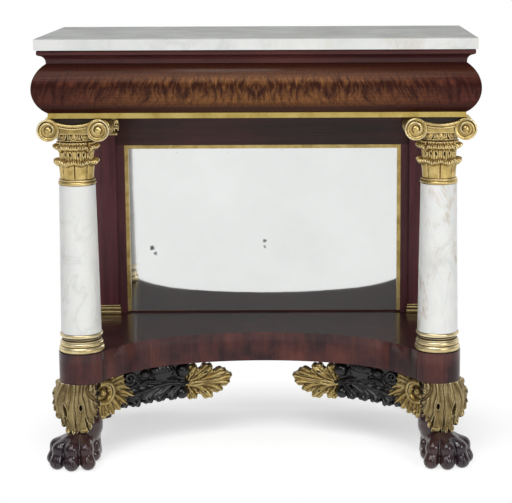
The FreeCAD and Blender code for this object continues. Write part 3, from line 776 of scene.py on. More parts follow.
def carve_paw():
    clay = Clay((-50, -42, 0), (90, 112, 158))
    leg = [(0, 0, 156), (-3, 0, 118), (-10, 1, 86), (-5, 6, 60), (8, 24, 48)]
    clay.add(finger(leg, (30, 32, 35, 29, 33), steps=14))
    clay.add(ball((17, 40, 40), (45, 46, 34)), 12)
    for toe in toe_places:
        add_toe(clay, *toe)
    # Heel pad behind and the small inner toe
    clay.add(finger([(-13, -2, 84), (-21, -4, 52), (-20, 0, 21)], (24, 17, 21)), 5)
    clay.add(ball((-25, 16, 17), (15, 20, 17)), 4)
    clay.add(ball((-33, 22, 40), (8, 10, 12)), 3)
    for toe, next_toe in zip(toe_places, toe_places[1:]):
        cut_cleft(clay, toe, next_toe)
    for toe in toe_places:
        cut_strands(clay, *toe)
    # Hair round the leg
    for turn in np.radians(range(-70, 90, 14)):
        hair = [(-8 + r * math.sin(turn), 2 + r * math.cos(turn), z)
                for r, z in ((34, 112), (38, 84), (34, 64))]
        clay.cut(finger(hair, (0.5, 1.1, 0.4), steps=6), 2.0)
    clay.keep(lambda x, y, z: 0.2 - z)
    return clay.skin(2)


def knee_point(turn, height, proud):
    """Place on the knee's leafy skin, turned from straight ahead towards the outside."""
    radius = np.interp(height, knee_heights, knee_radii) + proud
    shift = np.interp(height, knee_heights, knee_shifts)
    a = math.radians(turn)
    return shift + radius * math.sin(a), radius * math.cos(a), height


def knee_skin(x, y, z):
    """Gap to the leafy skin: a fluted leaf in front and one behind, with drilled eyes and rolled tips."""
    base, shift = np.interp(z, knee_heights, knee_radii), np.interp(z, knee_heights, knee_shifts)
    away = np.sqrt((x - shift) ** 2 + y ** 2)
    turn = np.degrees(np.arctan2(x - shift, y))
    across = (turn - leaf_axis + 90) % 180 - 90
    aside = np.abs(across)
    fall = (knee_top - z) / (knee_top - knee_bottom)
    spread = 1 + 0.85 * np.clip(fall, 0, 1) ** 1.5 * np.clip((aside - 4) / 40, 0, 1)
    sway = 3.4 * np.sin(5.0 * fall + 0.07 * across) + 1.9 * np.sin(11 * fall - 0.13 * across)
    waved = across / spread + sway
    waved = waved + 1.9 * np.sin(0.27 * waved + 0.6)
    ridge = np.abs(np.sin(np.pi * waved / flute_turn))
    fine = np.abs(np.sin(3 * np.pi * waved / flute_turn + 0.8))
    tall = 3.4 + 1.4 * np.sin(0.31 * waved + 1.0)
    relief = tall * (0.8 * ridge ** 0.8 + 0.2 * ridge ** 2) + 0.9 * fine
    relief = relief - 2.6 * np.exp(-(across / 1.8) ** 2) * np.clip(2.2 * fall - 0.8, 0, 1)
    # Drilled eyes with raised rims, and the slits below them that part the side lobes
    for place, height, half_turn, half_height in eyes:
        eye = np.sqrt(((across - place) / half_turn) ** 2 + ((z - height) / half_height) ** 2)
        relief = relief + 2.0 * np.exp(-((eye - 1.4) / 0.3) ** 2) - 15 * np.sqrt(np.clip(1 - eye, 0, 1))
    below = 118 - z
    slit = np.exp(-((aside - 27 - 0.22 * below) / 1.7) ** 2)
    relief = relief - 7 * slit * np.clip(below / 8, 0, 1)
    relief = relief - 3.0 * np.clip((aside - 40) / 6, 0, 1) * np.clip((124 - z) / 20, 0, 1)
    above = z - np.interp(aside, *np.array(leaf_outline, float).T) - 15 * (1 - np.sqrt(ridge))
    relief = relief + 7.5 * np.sqrt(ridge) * np.exp(-((above - 6) / 6.5) ** 2)
    share = np.clip(above / 2.0 + 0.5, 0, 1)
    skin = share * (base + relief) + (1 - share) * (base - 20)
    return np.maximum(0.7 * (away - skin), z - knee_top)


def inner_edge(height):
    """Ragged edge where the knee stops beside the bracket."""
    return 2.2 * np.sin(0.38 * height) + 1.2 * np.sin(0.9 * height + 1) - inner_face


def carve_knee():
    low, high = (-64, -68, knee_bottom - 8), (80, 68, knee_top)
    clay = Clay(low, high)
    clay.add((knee_skin, low, high))
    # Overlapping leaf beside the bracket, with the deep crescent below it
    for turn, tip in ((-34, 182), (-45, 170), (-57, 160), (-69, 154), (-80, 160)):
        lobe = [knee_point(0.75 * turn - 14, knee_top + 2, -2),
                knee_point(0.9 * turn - 5, 0.5 * (knee_top + tip) + 4, 2.5),
                knee_point(turn, tip + 3, 5.5), knee_point(turn, tip - 2, 4.0)]
        clay.add(finger(lobe, (4.0, 5.0, 5.4, 3.6), steps=10), 0.8)
    crescent = [knee_point(turn, height, 3)
                for turn, height in ((-24, 186), (-31, 172), (-45, 158), (-62, 147))]
    clay.cut(finger(crescent, (1.6, 4.0, 4.6, 2.4), steps=10), 0.8)
    # Curled lobes that break the outer outline
    for drop, turn in ((9, 98), (27, 92), (45, 96), (64, 90)):
        curl = [knee_point(turn + ahead, knee_top - drop + rise, proud)
                for ahead, rise, proud in ((-18, 10, -1), (-7, 4, 3), (4, -5, 5))]
        clay.add(finger(curl, (3.5, 5.6, 4.0), steps=6), 1.0)
    clay.keep(lambda x, y, z: np.maximum(z - knee_top, inner_edge(z) - x))
    return clay.skin()


def make_feet():
    points, quads, cavity = carve_paw()
    pair("carved_paw", foot_to_table(points), quads, "dark_paw", paw_paint, "paw", cavity)
    points, quads, cavity = carve_knee()
    # Painted shade: the cut face beside the bracket is given full hollowness, so the gilding paints it dark
    # as the shade of the gap
    cavity[points[:, 0] < 2 + inner_edge(points[:, 2])] = 1.0
    pair("carved_knee", foot_to_table(points), quads, "gilding", knee_gilt, "knee", cavity)


make_feet()

# Mouldings round the carcase: half-round frieze and cavetto cornice
neck_x = -node_box("gilt_band_left")[0][0]
neck_y = -node_box("gilt_band_front")[0][1]
side_grain_shift = 250


def swept(name, profile, arounds, slot, paint, stem):
    """Closed profile of (outward, height) places run round three sides, mitred at the corners."""
    back = node_box(stem + "_left")[1][1]
    count = len(profile)
    points, grain, faces = [], [], []
    for leg in range(3):
        start = len(points)
        for end, ((out, height), around) in itertools.product((0, 1), zip(profile, arounds)):
            x, y = neck_x + out, -neck_y - out
            px, py = [(-x, back), (-x, y), (x, y), (x, back)][leg + end]
            points.append((px, py, height))
            run = px if leg == 1 else py + side_grain_shift
            grain.append((run / metre, around, 0))
        for i in range(count):
            j = (i + 1) % count
            faces.append((start + i, start + j, start + count + j, start + count + i))
    faces.append(tuple(range(count)))
    faces.append(tuple(range(5 * count, 6 * count))[::-1])
    finish_piece(name, points, faces, slot, paint, three_sides(stem), grain=grain, sharp=35)


def make_frieze():
    low, high = node_box("frieze_front")
    bulge, board = high[0] - neck_x, high[1] + neck_y
    middle, half = (low[2] + high[2]) / 2, (high[2] - low[2]) / 2
    radius = (half ** 2 + bulge ** 2) / (2 * bulge)
    sweep = math.asin(half / radius)
    steps = 49
    profile = arc((bulge - radius, middle), (radius, radius), -sweep, sweep, steps)
    profile += [(-board, high[2]), (-board, low[2])]
    arounds = [*np.linspace(-1, 1, steps), 1, -1]
    swept("veneered_frieze", profile, arounds, "flame_mahogany", flame_wood, "frieze")


def make_cornice():
    low, high = node_heights("cornice_front")
    reach = -node_box("cornice_left")[0][0] - neck_x
    depth = node_box("cornice_front")[1][1] + neck_y
    lip, edge, fillet = 0.8, 3.4, 11.6
    hollow = 0.82 * reach
    profile = [(0, low), (lip, low + 2.4)]
    profile += arc((hollow, low + 3.4), (lip - hollow, high - low - 16), 0, quarter_turn, 14)
    profile += [(reach - edge - 1, high - fillet)]
    profile += arc((reach - edge, high - fillet + edge), (edge, edge), -quarter_turn, 0, 7)
    profile += arc((reach - edge, high - edge), (edge, edge), 0, quarter_turn, 7)
    profile += [(-depth, high), (-depth, low)]
    swept("moulded_cornice", profile, [0] * len(profile), "mahogany", cornice_wood, "cornice")


make_frieze()
make_cornice()

# Capitals, carved in column space (right, back, height) round the left column's axis
bell_core = 37
bell_reach = 58
bell_ring = bell_bottom + 14
bell_waist = (bell_ring + bell_top) / 2
volute_roll = (soffit - bell_top - 4) / 2
volute_eye_x = volute_half_width - volute_roll
volute_eye_z = soffit - volute_roll


def round_point(turn, radius, height):
    """Place round the column, turned from straight ahead towards the right."""
    a = math.radians(turn)
    return radius * math.sin(a), -radius * math.cos(a), height


def bell_skin(x, y, z):
    """Gap to the bell: panels below, ribbed leaves with drilled eyes above, each row under a ruffle."""
    half_leaf = 22.5
    turn = np.degrees(np.arctan2(x, -y))
    seam = (turn + half_leaf) % (2 * half_leaf) - half_leaf
    quarter = np.abs((turn + 45) % 90 - 45)
    low_rise = np.clip((z - bell_ring) / (bell_waist - bell_ring), 0, 1)
    high_rise = np.clip((z - bell_waist) / (bell_top - bell_waist), 0, 1)
    # Lower panels, parted by seams
    deep = np.where(quarter < half_leaf, 3.6, 1.8)
    panel = bell_core + 1.2 + 5 * low_rise ** 2 - deep * np.exp(-(seam / 2.0) ** 2)
    panel = panel + np.cos(np.radians(4 * (np.abs(seam) - half_leaf)))
    # Upper leaves: ribs, and eyes between their lobes
    ribs = np.abs(np.sin(np.radians(180 * (quarter + 2) / 9.5)))
    leaf = bell_core + 0.5 + 7 * high_rise ** 2 + 2.0 * ribs ** 0.8
    leaf = leaf - 4.0 * np.exp(-((quarter - 45) / 3.0) ** 2)
    for eye_turn in (14.5, 33):
        eye = np.sqrt(((quarter - eye_turn) / 3.6) ** 2 + ((z - bell_waist - 15) / 5.0) ** 2)
        leaf = leaf - 6 * np.sqrt(np.clip(1 - eye, 0, 1))
    skin = np.where(z < bell_waist + 1, panel, leaf)
    ripple = np.cos(np.radians(60 * turn)) * 1.1 + np.cos(np.radians(24 * turn)) * 0.9
    lower_ruffle = bell_waist - 4 + 1.8 * np.cos(np.radians(8 * seam))
    upper_ruffle = bell_top - 12 - 6 * np.clip((quarter - 36) / 9, 0, 1)
    for middle, half, reach in ((lower_ruffle, 6.4, 15.0), (upper_ruffle, 6.8, 16.5)):
        swell = np.sqrt(np.clip(1 - ((z - middle - 0.8 * ripple) / half) ** 2, 0, 1))
        skin = np.maximum(skin, (bell_core + 3 + (reach - 3 + ripple) * swell) * (swell > 0))
    notch = 9 * np.exp(-((quarter - 45) / 3.5) ** 2) * np.clip((z - bell_top + 22) / 4, 0, 1)
    return 0.7 * np.maximum(np.sqrt(x ** 2 + y ** 2) - skin + notch, z - bell_top)


def carve_bell():
    low, high = (-bell_reach, -bell_reach, bell_bottom), (bell_reach, bell_reach, bell_top)
    clay = Clay(low, high)
    foot = half_round(bell_bottom, bell_bottom + 9.2, 39.4, 44.0, 13)
    collar = ((40.4, -4.6), (42.2, -4.4), (42.2, -0.6), (38, -0.5), (bell_core, 2))
    clay.add(turned_solid(foot + [(radius, bell_ring + rise) for radius, rise in collar]))
    clay.add((bell_skin, (-bell_reach, -bell_reach, bell_ring), high))
    clay.cut(block((-bell_reach, -bell_reach, bell_bottom - 4), (bell_reach, bell_reach, bell_bottom)))
    return clay.skin()


def add_eggs(clay):
    """Neck of the capital, and its ring of eggs and darts."""
    neck = ((35, 0), (35, 2.5), (41, 2.6), (42, 5.5), (38, 5.6), (40, 10), (42, 18), (43, 24))
    clay.add(turned_solid([(radius, bell_top + rise) for radius, rise in neck]))
    egg_turn = 36
    for turn in range(0, 360, egg_turn):
        clay.cut(ball(round_point(turn, 41, bell_top + 14.5), (9.4, 9.4, 10)), 0.6)
        rim = [round_point(turn + aside, 43, bell_top + rise)
               for aside, rise in ((-11.5, 24), (-11, 14), (0, 5), (11, 14), (11.5, 24))]
        clay.add(finger(rim, (1.7,) * 5, steps=14), 0.5)
        clay.add(ball(round_point(turn, 39.5, bell_top + 15), (6.8, 6.8, 8.2)))
        dart = [round_point(turn + egg_turn / 2, radius, bell_top + rise)
                for radius, rise in ((42, 23), (43, 7))]
        clay.add(finger(dart, (2.0, 0.9), steps=3))


def add_bolster(clay, side):
    """Fluted bolster from front to back, with straps round its waist."""
    eye_x = side * volute_eye_x
    spread = (0, 6, 7.5, 22, 36, 41, volute_half_depth)
    girth = volute_roll - np.array((4.5, 4.5, 7.5, 8, 3, 0.5, 0.5))
    middle = np.array((eye_x, 0, volute_eye_z))
    half = np.array((volute_roll, volute_half_depth, volute_roll))

    def bolster(x, y, z):
        gap = np.sqrt((x - eye_x) ** 2 + (z - volute_eye_z) ** 2) - np.interp(np.abs(y), spread, girth)
        return np.maximum(gap, np.abs(y) - volute_half_depth)

    def rim(turn, inset, depth):
        radius = volute_roll - inset
        return eye_x + radius * math.cos(turn), depth, volute_eye_z + radius * math.sin(turn)

    clay.add((bolster, middle - half, middle + half), 1.0)
    for depth in (-4.5, 4.5):
        strap = [rim(turn, 5, depth) for turn in np.linspace(0, 2 * math.pi, 13)]
        clay.add(finger(strap, (1.6,) * 13, steps=30))
    for turn in np.linspace(0, 2 * math.pi, 14, endpoint=False):
        for front in (-1, 1):
            flute = [rim(turn, inset, front * depth) for inset, depth in ((6, 11), (6.5, 22), (3, 33))]
            clay.cut(finger(flute, (0.6, 1.8, 0.8), steps=5), 1.0)


def add_volute_face(clay, side, face):
    """Sunk face of a volute, with its spiral roll and eye."""
    eye_x = side * volute_eye_x
    middle = np.array((eye_x, 0, volute_eye_z))
    half = np.array((volute_roll, volute_half_depth, volute_roll))

    def sunk(x, y, z):
        gap = np.sqrt((x - eye_x) ** 2 + (z - volute_eye_z) ** 2) - (volute_roll - 4.5)
        return np.maximum(gap, volute_half_depth - 6.5 - face * y)

    clay.cut((sunk, middle - half, middle + half), 0.8)
    spiral = []
    for t in np.linspace(0, 3.1 * math.pi, 26):
        r = volute_roll - 3.2 - 0.62 * t - 0.095 * t ** 2
        x, z = eye_x - side * r * math.sin(t), volute_eye_z + r * math.cos(t)
        spiral.append((x, face * (volute_half_depth - 3.6), z))
    clay.add(finger(spiral, np.linspace(3.5, 2.0, len(spiral)), steps=52), 0.5)
    clay.add(ball((eye_x, face * (volute_half_depth - 5), volute_eye_z), (8.2, 4.6, 8.2)), 0.5)


def carve_volutes():
    half_depth, eye_x = volute_half_depth, volute_eye_x
    clay = Clay((-volute_half_width, -half_depth, bell_top), (volute_half_width, half_depth, soffit))
    add_eggs(clay)
    for side in (-1, 1):
        add_bolster(clay, side)
    channel_bottom = bell_top + 20

    def channel(x, y, z):
        """Dished channel between the volutes."""
        top = soffit - 17 + 12 * (x / eye_x) ** 2
        return furthest(np.abs(x) - eye_x, np.abs(y) - half_depth + 6, z - top, channel_bottom - z)

    clay.add((channel, (-eye_x, -half_depth, channel_bottom), (eye_x, half_depth, soffit)), 0.5)
    clay.add(block((-eye_x, -half_depth + 22, soffit - 20), (eye_x, half_depth - 22, soffit)))
    for face in (-1, 1):
        # Dipped bands over the channel
        for drop, thick in ((0, 3.6), (8.2, 2.3)):
            dip = [(x, face * (half_depth - 4.0), soffit - thick - drop - 13.5 * (1 - (x / eye_x) ** 2))
                   for x in np.linspace(-eye_x, eye_x, 9)]
            clay.add(finger(dip, (thick,) * 9, steps=18), 0.4)
        for side in (-1, 1):
            add_volute_face(clay, side, face)
    return clay.skin()


def make_capitals():
    points, quads, cavity = carve_bell()
    pair("carved_bell", points + column_place, quads, "gilding", bright_gilt, "capital", cavity)
    points, quads, cavity = carve_volutes()
    # Painted shade: the stock behind the dipped band is given full hollowness, so the gilding paints it
    # dark as the shade of the recess
    aside, depth, height = np.abs(points).T
    cavity[(height > soffit - 22) & (depth < volute_half_depth - 14) & (aside < 58)] = 1.0
    pair("carved_volutes", points + column_place, quads, "gilding", bright_gilt, "volute_block", cavity)


make_capitals()


# Turned column bases
def make_column_bases():
    bottom, _ = node_heights("column_base_left")
    # Lower and upper height, root and crest radius of each bead
    beads = ((0, 15, 48.6, 53), (15.6, 25, 47.6, 50.6), (25.4, 28.4, 46.8, 48.0), (28.8, 36.4, 46.2, 44.2),
             (36.8, 46, 46.6, 50.4))
    profile = np.array([place for bead in beads for place in half_round(*bead, 11)])
    radii, heights = profile.T
    # Sunk places are darkened as dirt and painted shade, and crests lightened as rubbed wear and painted
    # highlight
    around = np.array([np.mean(radii[np.abs(heights - height) < 3]) for height in heights])
    sunk = np.clip((around - radii) / 2.6, -0.5, 0.5)
    turns = np.linspace(0, 360, turning_steps, endpoint=False)
    points = np.array([round_point(turn, radius, bottom + height)
                       for radius, height in profile for turn in turns])
    faces = ring_faces(len(profile), turning_steps)
    pair("turned_base", points + column_place, faces, "gilding", base_gilt, "column_base",
         np.repeat(sunk, turning_steps), sharp=50)


make_column_bases()

# Wing brackets, carved flat in wall space and bent along the concave wall
wide_radius, wide_half = 600.0, 200.0
wide_centre = np.array([0.0, -586.0])
bend_radius = 296.45
bend_centre = np.array([-101.18, -299.81])
wall_setback = 4.0
bracket_depth = 38.0
# Half widths of a leaf lobe along its length, as shares of both
blunt_lobe = ((0, 0.35), (0.2, 0.65), (0.6, 0.92), (0.84, 1.0), (0.94, 0.8), (1, 0.3))
pointed_lobe = ((0, 0.45), (0.2, 0.8), (0.55, 1.0), (0.8, 0.88), (0.93, 0.62), (1, 0.25))


def wall_to_table(points):
    """Wall space (run from the table's middle, negative on the left, depth, height) to the table."""
    run, depth, height = points.T
    turn = math.asin(wide_half / wide_radius)
    straight = wide_radius * turn
    on_wide = -run <= straight
    angle = np.where(on_wide, -run / wide_radius, turn + (-run - straight) / bend_radius)
    radius = np.where(on_wide, wide_radius, bend_radius) + bracket_depth + wall_setback - depth
    centre = np.where(on_wide[:, None], wide_centre, bend_centre)
    x, y = centre[:, 0] - radius * np.sin(angle), centre[:, 1] + radius * np.cos(angle)
    return np.stack([x, y, height], 1)


def blade(path, width, root_depth, tip_depth, crown, veins, lobes, outline=blunt_lobe):
    """Leaf lobe along a curve of (run, height) places: lobed edge, raised midrib and slanting veins."""
    line = through(path, 14)
    pieces = line[1:] - line[:-1]
    lengths = np.hypot(*pieces.T)
    starts = np.concatenate([[0], np.cumsum(lengths)])

    def distance(x, y, z):
        best, along, aside = np.inf, 0, 0
        for start, piece, length, passed in zip(line[:-1], pieces, lengths, starts):
            dx, dz = x - start[0], z - start[1]
            share = np.clip((dx * piece[0] + dz * piece[1]) / length ** 2, 0, 1)
            gap = np.sqrt((dx - share * piece[0]) ** 2 + (dz - share * piece[1]) ** 2)
            side = np.sign(piece[0] * dz - piece[1] * dx) * gap
            along = np.where(gap < best, (passed + share * length) / starts[-1], along)
            aside = np.where(gap < best, side, aside)
            best = np.minimum(gap, best)
        half = width * np.interp(along, *np.array(outline).T)
        half = half * (1 + 0.12 * np.cos(2 * np.pi * lobes * along))
        across = np.clip(np.abs(aside) / np.maximum(half, 0.5), 0, 1)
        surface = root_depth + (tip_depth - root_depth) * along ** 1.5 + crown * (1 - across ** 2)
        surface = surface + 0.2 * crown * np.exp(-(across / 0.2) ** 2)
        surface = surface - 0.3 * crown * np.exp(-((across - 0.5) / 0.15) ** 2)
        surface = surface + 0.8 * across * np.cos(2 * np.pi * (veins * along - 0.8 * across))
        return 0.75 * furthest(y - surface, best - half, 1.0 - y)

    reach = 1.2 * width
    (low_run, low_height), (high_run, high_height) = line.min(0) - reach, line.max(0) + reach
    return distance, (low_run, 1, low_height), (high_run, bracket_depth, high_height)


def carve_leaf():
    """Gilt leaf at the free end of the bracket."""
    clay = Clay((-190, 1, 97), (-70, bracket_depth, 192))
    plate = [(-168, 9, 142), (-150, 9, 143), (-125, 9, 144), (-95, 9, 146)]
    clay.add(finger(plate, (20, 30, 26, 14), 0.3, steps=8))
    upper = (((-178, 146), (-172, 160), (-162, 182), 17), ((-176, 144), (-148, 156), (-124, 179), 17),
             ((-168, 144), (-126, 151), (-90, 166), 14.5), ((-158, 144), (-112, 146), (-76, 155), 12))
    lower = (((-178, 132), (-172, 120), (-162, 105), 17), ((-176, 135), (-146, 126), (-124, 105), 17),
             ((-168, 138), (-128, 134), (-99, 121), 15), ((-158, 140), (-114, 139), (-81, 139), 12))
    for level, row in ((14, upper), (13, lower)):
        for index, (*path, width) in enumerate(row):
            clay.add(blade(path, width, level + 1.5 * index, level + 9, crown=7, veins=3, lobes=2), 0.6)
    for bend, end in ((3, 152), (-5, 146)):
        midrib = [(-183, 25, 139), (-160, 28.5, 141 + bend), (-122, 28, 145 + 0.3 * bend), (-84, 25, end)]
        clay.add(finger(midrib, (3.6, 3.2, 2.6, 1.6), steps=10), 0.6)
    slits = (((-146, 162), (-134, 168)), ((-112, 154), (-98, 158)), ((-116, 134), (-102, 132)),
             ((-148, 124), (-138, 117)), ((-174, 156), (-170, 165)), ((-176, 124), (-172, 116)))
    for (run, height), (end_run, end_height) in slits:
        clay.cut(finger([(run, 28, height), (end_run, 26, end_height)], (1.6, 3.0), steps=3), 0.8)
    return clay.skin()


def veined_leaf(x, y, z):
    """Gap to a domed leaf with a waved edge, a raised midrib and slanting veins."""
    half_length, half_height = 31, 25
    run, rise = x + 241, z - 179
    u, v = run / half_length, rise / half_height
    spread = np.sqrt(u ** 2 + v ** 2) / (1 + 0.06 * np.cos(9 * np.arctan2(v, u)))
    dome = 21 + 15.5 * np.sqrt(np.clip(1 - spread ** 2, 0, 1)) ** 0.8
    veins = np.abs(np.sin(0.36 * run + 0.22 * np.abs(rise + 4)))
    rib = np.exp(-((rise + 4 - 0.15 * run) / 1.8) ** 2)
    surface = dome - 0.8 * (1 - veins ** 0.7) + 0.8 * rib
    return 0.7 * furthest(y - surface, half_height * (spread - 1), 2 - y)


def add_fruit(clay):
    """Fruit, the largest with two rings cut into it, and the curl at the other end."""
    run, depth, height = -191, 20, 175
    radius = 17
    fruit = (((run, depth, height), (radius, 16, radius)), ((-194, 22, 118), (14.5, 14, 14.5)),
             ((-284, 20, 177), (14, 12, 11)))
    for centre, radii in fruit:
        clay.add(ball(centre, radii), 0.3)
    for last_turn, size in ((1.6, 12.0), (1.4, 8.5)):
        front = depth + math.sqrt(radius ** 2 - size ** 2)
        ring = [(x, front, z) for x, z in arc((run, height), (size, size), -2.6, last_turn, 12)]
        clay.cut(finger(ring, (0.5,) + (1.5,) * 10 + (0.5,), steps=24), 0.8)
    curl = [(-328 + r * math.cos(t), 25, 176 + 0.85 * r * math.sin(t)) for t, r in
            zip(np.linspace(-0.7 * math.pi, 2.4 * math.pi, 20), np.linspace(18, 3, 20))]
    clay.add(finger(curl, np.linspace(5.4, 2.6, 20), steps=40), 0.5)


def carve_fruit():
    """Dark middle: fruit, a curl and a long leaf whose lobes overlap along the bracket."""
    clay = Clay((-356, 1, 95), (-170, bracket_depth, knee_top))
    clay.add(block((-352, 2, 105), (-174, 14, knee_top)))
    clay.add(block((-350, 2, 160), (-174, 20, knee_top)), 2)
    # A broad veined leaf stands proud where the fixing screw runs
    clay.add((veined_leaf, (-275, 2, 153), (-208, bracket_depth, 195)), 1.0)
    clay.add(blade(((-262, 168), (-282, 166), (-308, 170)), 12, 20, 21, crown=3.5, veins=7, lobes=5), 0.4)
    lower = (((-304, 134), (-334, 122), (-350, 111), 14), ((-272, 138), (-300, 123), (-318, 107), 17),
             ((-246, 140), (-270, 125), (-284, 108), 16), ((-220, 140), (-242, 125), (-252, 107), 15),
             ((-198, 138), (-212, 123), (-222, 107), 13))
    for index, (*path, width) in enumerate(lower):
        clay.add(blade(path, width, 18 + 0.8 * index, 25, crown=6.5, veins=2, lobes=1), 1.2)
        tip_run, tip_height = path[-1]
        clay.add(ball((tip_run + 2, 26, tip_height + 3), (7.5, 8, 6.5)), 2.5)
    upper = (((-286, 146), (-312, 156), (-340, 150), 11), ((-246, 150), (-276, 160), (-306, 156), 12),
             ((-206, 150), (-228, 156), (-256, 158), 11))
    for index, (*path, width) in enumerate(upper):
        clay.add(blade(path, width, 19 + index, 26, crown=6.5, veins=4, lobes=3), 0.4)
    stem = ((-178, 142), (-230, 147), (-290, 137), (-338, 130))
    clay.add(blade(stem, 13, 24, 24, crown=6, veins=8, lobes=6), 0.4)
    add_fruit(clay)
    return clay.skin()


def carve_scroll():
    """Gilt scroll beside the knee: a curled eye with a leaf fan, and an upright fluted leaf."""
    eye_run, eye_height, shrink = -412, 161, 0.84
    clay = Clay((-426, 1, 94), (-316, bracket_depth, knee_top))
    clay.add(block((-426, 2, 112), (-372, 13, knee_top)))
    clay.add(block((-426, 2, 172), (-352, 17, knee_top)), 3)
    clay.add(finger([(-420, 12, 150), (-400, 12, 150), (-365, 11, 146)], (34, 38, 26), 0.3, steps=8))
    fan = (((-392, 142), (-386, 122), (-383, 102), 12.5), ((-392, 146), (-376, 132), (-362, 108), 13.5),
           ((-388, 152), (-364, 140), (-342, 116), 13.5), ((-386, 160), (-354, 152), (-322, 132), 14),
           ((-386, 168), (-360, 167), (-334, 153), 13))
    for index, (*path, width) in enumerate(fan):
        clay.add(blade(path, width, 17 + (index % 2) * 2.5, 26, 7, 3, 2, pointed_lobe), 0.5)
    # Lobes of the upper leaf, deep over the fixing screw
    upper = (((-396, 163), (-374, 166), (-349, 166)), ((-398, 172), (-376, 177), (-350, 180)),
             ((-398, 180), (-378, 187), (-354, 191)))
    for path in upper:
        clay.add(blade(path, 10.5, 29.5, 32, crown=4, veins=4, lobes=3), 0.3)
    for run, foot, width in ((-424, 101, 8), (-413, 97, 8.5), (-401, 101, 8)):
        path = ((eye_run + 0.3 * (run - eye_run), 142), (run, 122), (run, foot))
        clay.add(blade(path, width, 18, 24, 5, 3, 2, pointed_lobe), 0.4)
        clay.add(ball((run, 23, foot + 5), (6.2, 8, 5.5)), 2.0)
    # Broad roll over the eye, with a line sunk along it
    roll = [(-428, 25, 184), (-410, 26, 184), (-392, 26, 175), (-385, 26, 158), (-391, 26, 143),
            (-406, 25, 135), (-426, 23, 138)]
    clay.add(finger(roll, (7, 9.5, 10.5, 11, 10, 8, 6), steps=28), 2.0)
    line = [(eye_run + shrink * (run - eye_run), 35, eye_height + shrink * (height - eye_height))
            for run, _, height in roll]
    clay.cut(finger(line, (0.8, 1.2, 1.4, 1.4, 1.4, 1.0, 0.6), steps=28), 1.4)
    clay.add(ball((eye_run - 3, 24, eye_height), (9, 10, 9)), 1.0)
    return clay.skin()


def make_brackets():
    brackets = (("leaf", "gilding", gilt, carve_leaf), ("fruit", "verdigris", leaf_paint, carve_fruit),
                ("scroll", "gilding", gilt, carve_scroll))
    for stem, slot, paint, carve in brackets:
        points, quads, cavity = carve()
        pair("carved_" + stem, wall_to_table(points), quads, slot, paint, "bracket_" + stem, cavity)


make_brackets()


# Pilaster capitals, carved in the table's own space, and pilaster bases
def add_leaf_scroll(clay, place):
    """Leaf scroll that rises from the middle of a pilaster capital to one corner."""
    stalk = [place(14, 7, 9), place(28, 5, 16), place(42, 4.5, 28), place(50, 5, 38), place(53, 5.5, 33),
             place(50, 6, 28)]
    clay.add(finger(stalk, (3.0, 4.0, 4.8, 4.6, 3.6, 2.4), steps=20), 0.8)
    lobes = ((22, 12, 40, 12), (32, 18, 51, 18), (40, 26, 54, 24), (20, 16, 24, 34), (30, 24, 35, 41))
    for out, rise, to_out, to_rise in lobes:
        crest = place((out + to_out) / 2, 3.5, (rise + to_rise) / 2 + 1)
        lobe = [place(out, 6, rise), crest, place(to_out, 5, to_rise)]
        clay.add(finger(lobe, (2.6, 3.4, 2.6), steps=7), 0.6)
    corner = [place(53, 14, 12), place(53.5, 12, 24), place(54, 8, 34)]
    clay.add(finger(corner, (2.5, 3.4, 3.0), steps=7), 0.8)


def carve_pilaster_capital():
    """Plain block with a flat moulding, leaf scrolls to the corners and a fan of leaves in the middle."""
    low, high = node_box("pilaster_capital_left")
    middle = node_middle("pilaster_capital_left")[0]
    front, back, bottom, top = low[1], high[1], low[2] + 16, high[2]
    half = high[0] - middle
    clay = Clay((low[0], front, bottom), (high[0], back, top))
    # Inset from the sides and the front, lower and upper height, and blend of each step of the block
    steps = ((6, 3, bottom + 42, top, 0), (10, 7, bottom, top, 0), (4, 3, bottom, bottom + 6.5, 1),
             (7, 5, bottom + 6, bottom + 9.5, 1))
    for side_inset, front_inset, foot, head, blend in steps:
        out = half - side_inset
        clay.add(block((middle - out, front + front_inset, foot), (middle + out, back, head)), blend)
    for side in (-1, 1):
        add_leaf_scroll(clay, lambda out, inset, rise: (middle + side * out, front + inset, bottom + rise))
    for lean in (-9, -4.5, 0, 4.5, 9):
        leaf = [(middle + 0.4 * lean, front + 7, bottom + 9), (middle + lean, front + 4.5, bottom + 24),
                (middle + 1.5 * lean, front + 4, bottom + 38 - 0.08 * lean ** 2)]
        clay.add(finger(leaf, (2.2, 3.0, 2.8), steps=7), 0.6)
    return clay.skin()


def make_pilaster_capitals():
    points, quads, cavity = carve_pilaster_capital()
    pair("carved_pilaster_capital", points, quads, "gilding", bright_gilt, "pilaster_capital", cavity)


def make_pilaster_bases():
    """Two half-round beads and a fillet round three sides."""
    low, high = node_box("pilaster_base_left")
    # Lower and upper share of the height, root and crest inset of each bead
    beads = ((0.02, 0.40, 1.8, 0.0), (0.48, 0.80, 2.6, 0.8), (0.86, 1.0, 3.4, 2.4))
    levels = [(1.0, 0)] + [place for bead in beads for place in half_round(*bead, 9)]
    points, sunk = [], []
    for inset, share in levels:
        left, right, front, back = low[0] + inset, high[0] - inset, low[1] + inset, high[1]
        height = low[2] + share * (high[2] - low[2])
        points += [(x, y, height) for x, y in ((left, back), (left, front), (right, front), (right, back))]
        sunk += [0.5 if inset > 1.6 and share < 0.9 else -0.2] * 4
    faces = ring_faces(len(levels), 4)
    pair("moulded_pilaster_base", points, faces, "gilding", bright_gilt, "pilaster_base",
         np.array(sunk), sharp=50)


make_pilaster_capitals()
make_pilaster_bases()

# Stage: white floor and backdrop that keep the table's shadow, soft studio lamps, camera
white = (1, 1, 1, 1)
floor_half = 60.0
floor_tone = (0.82, 0.82, 0.82, 1)
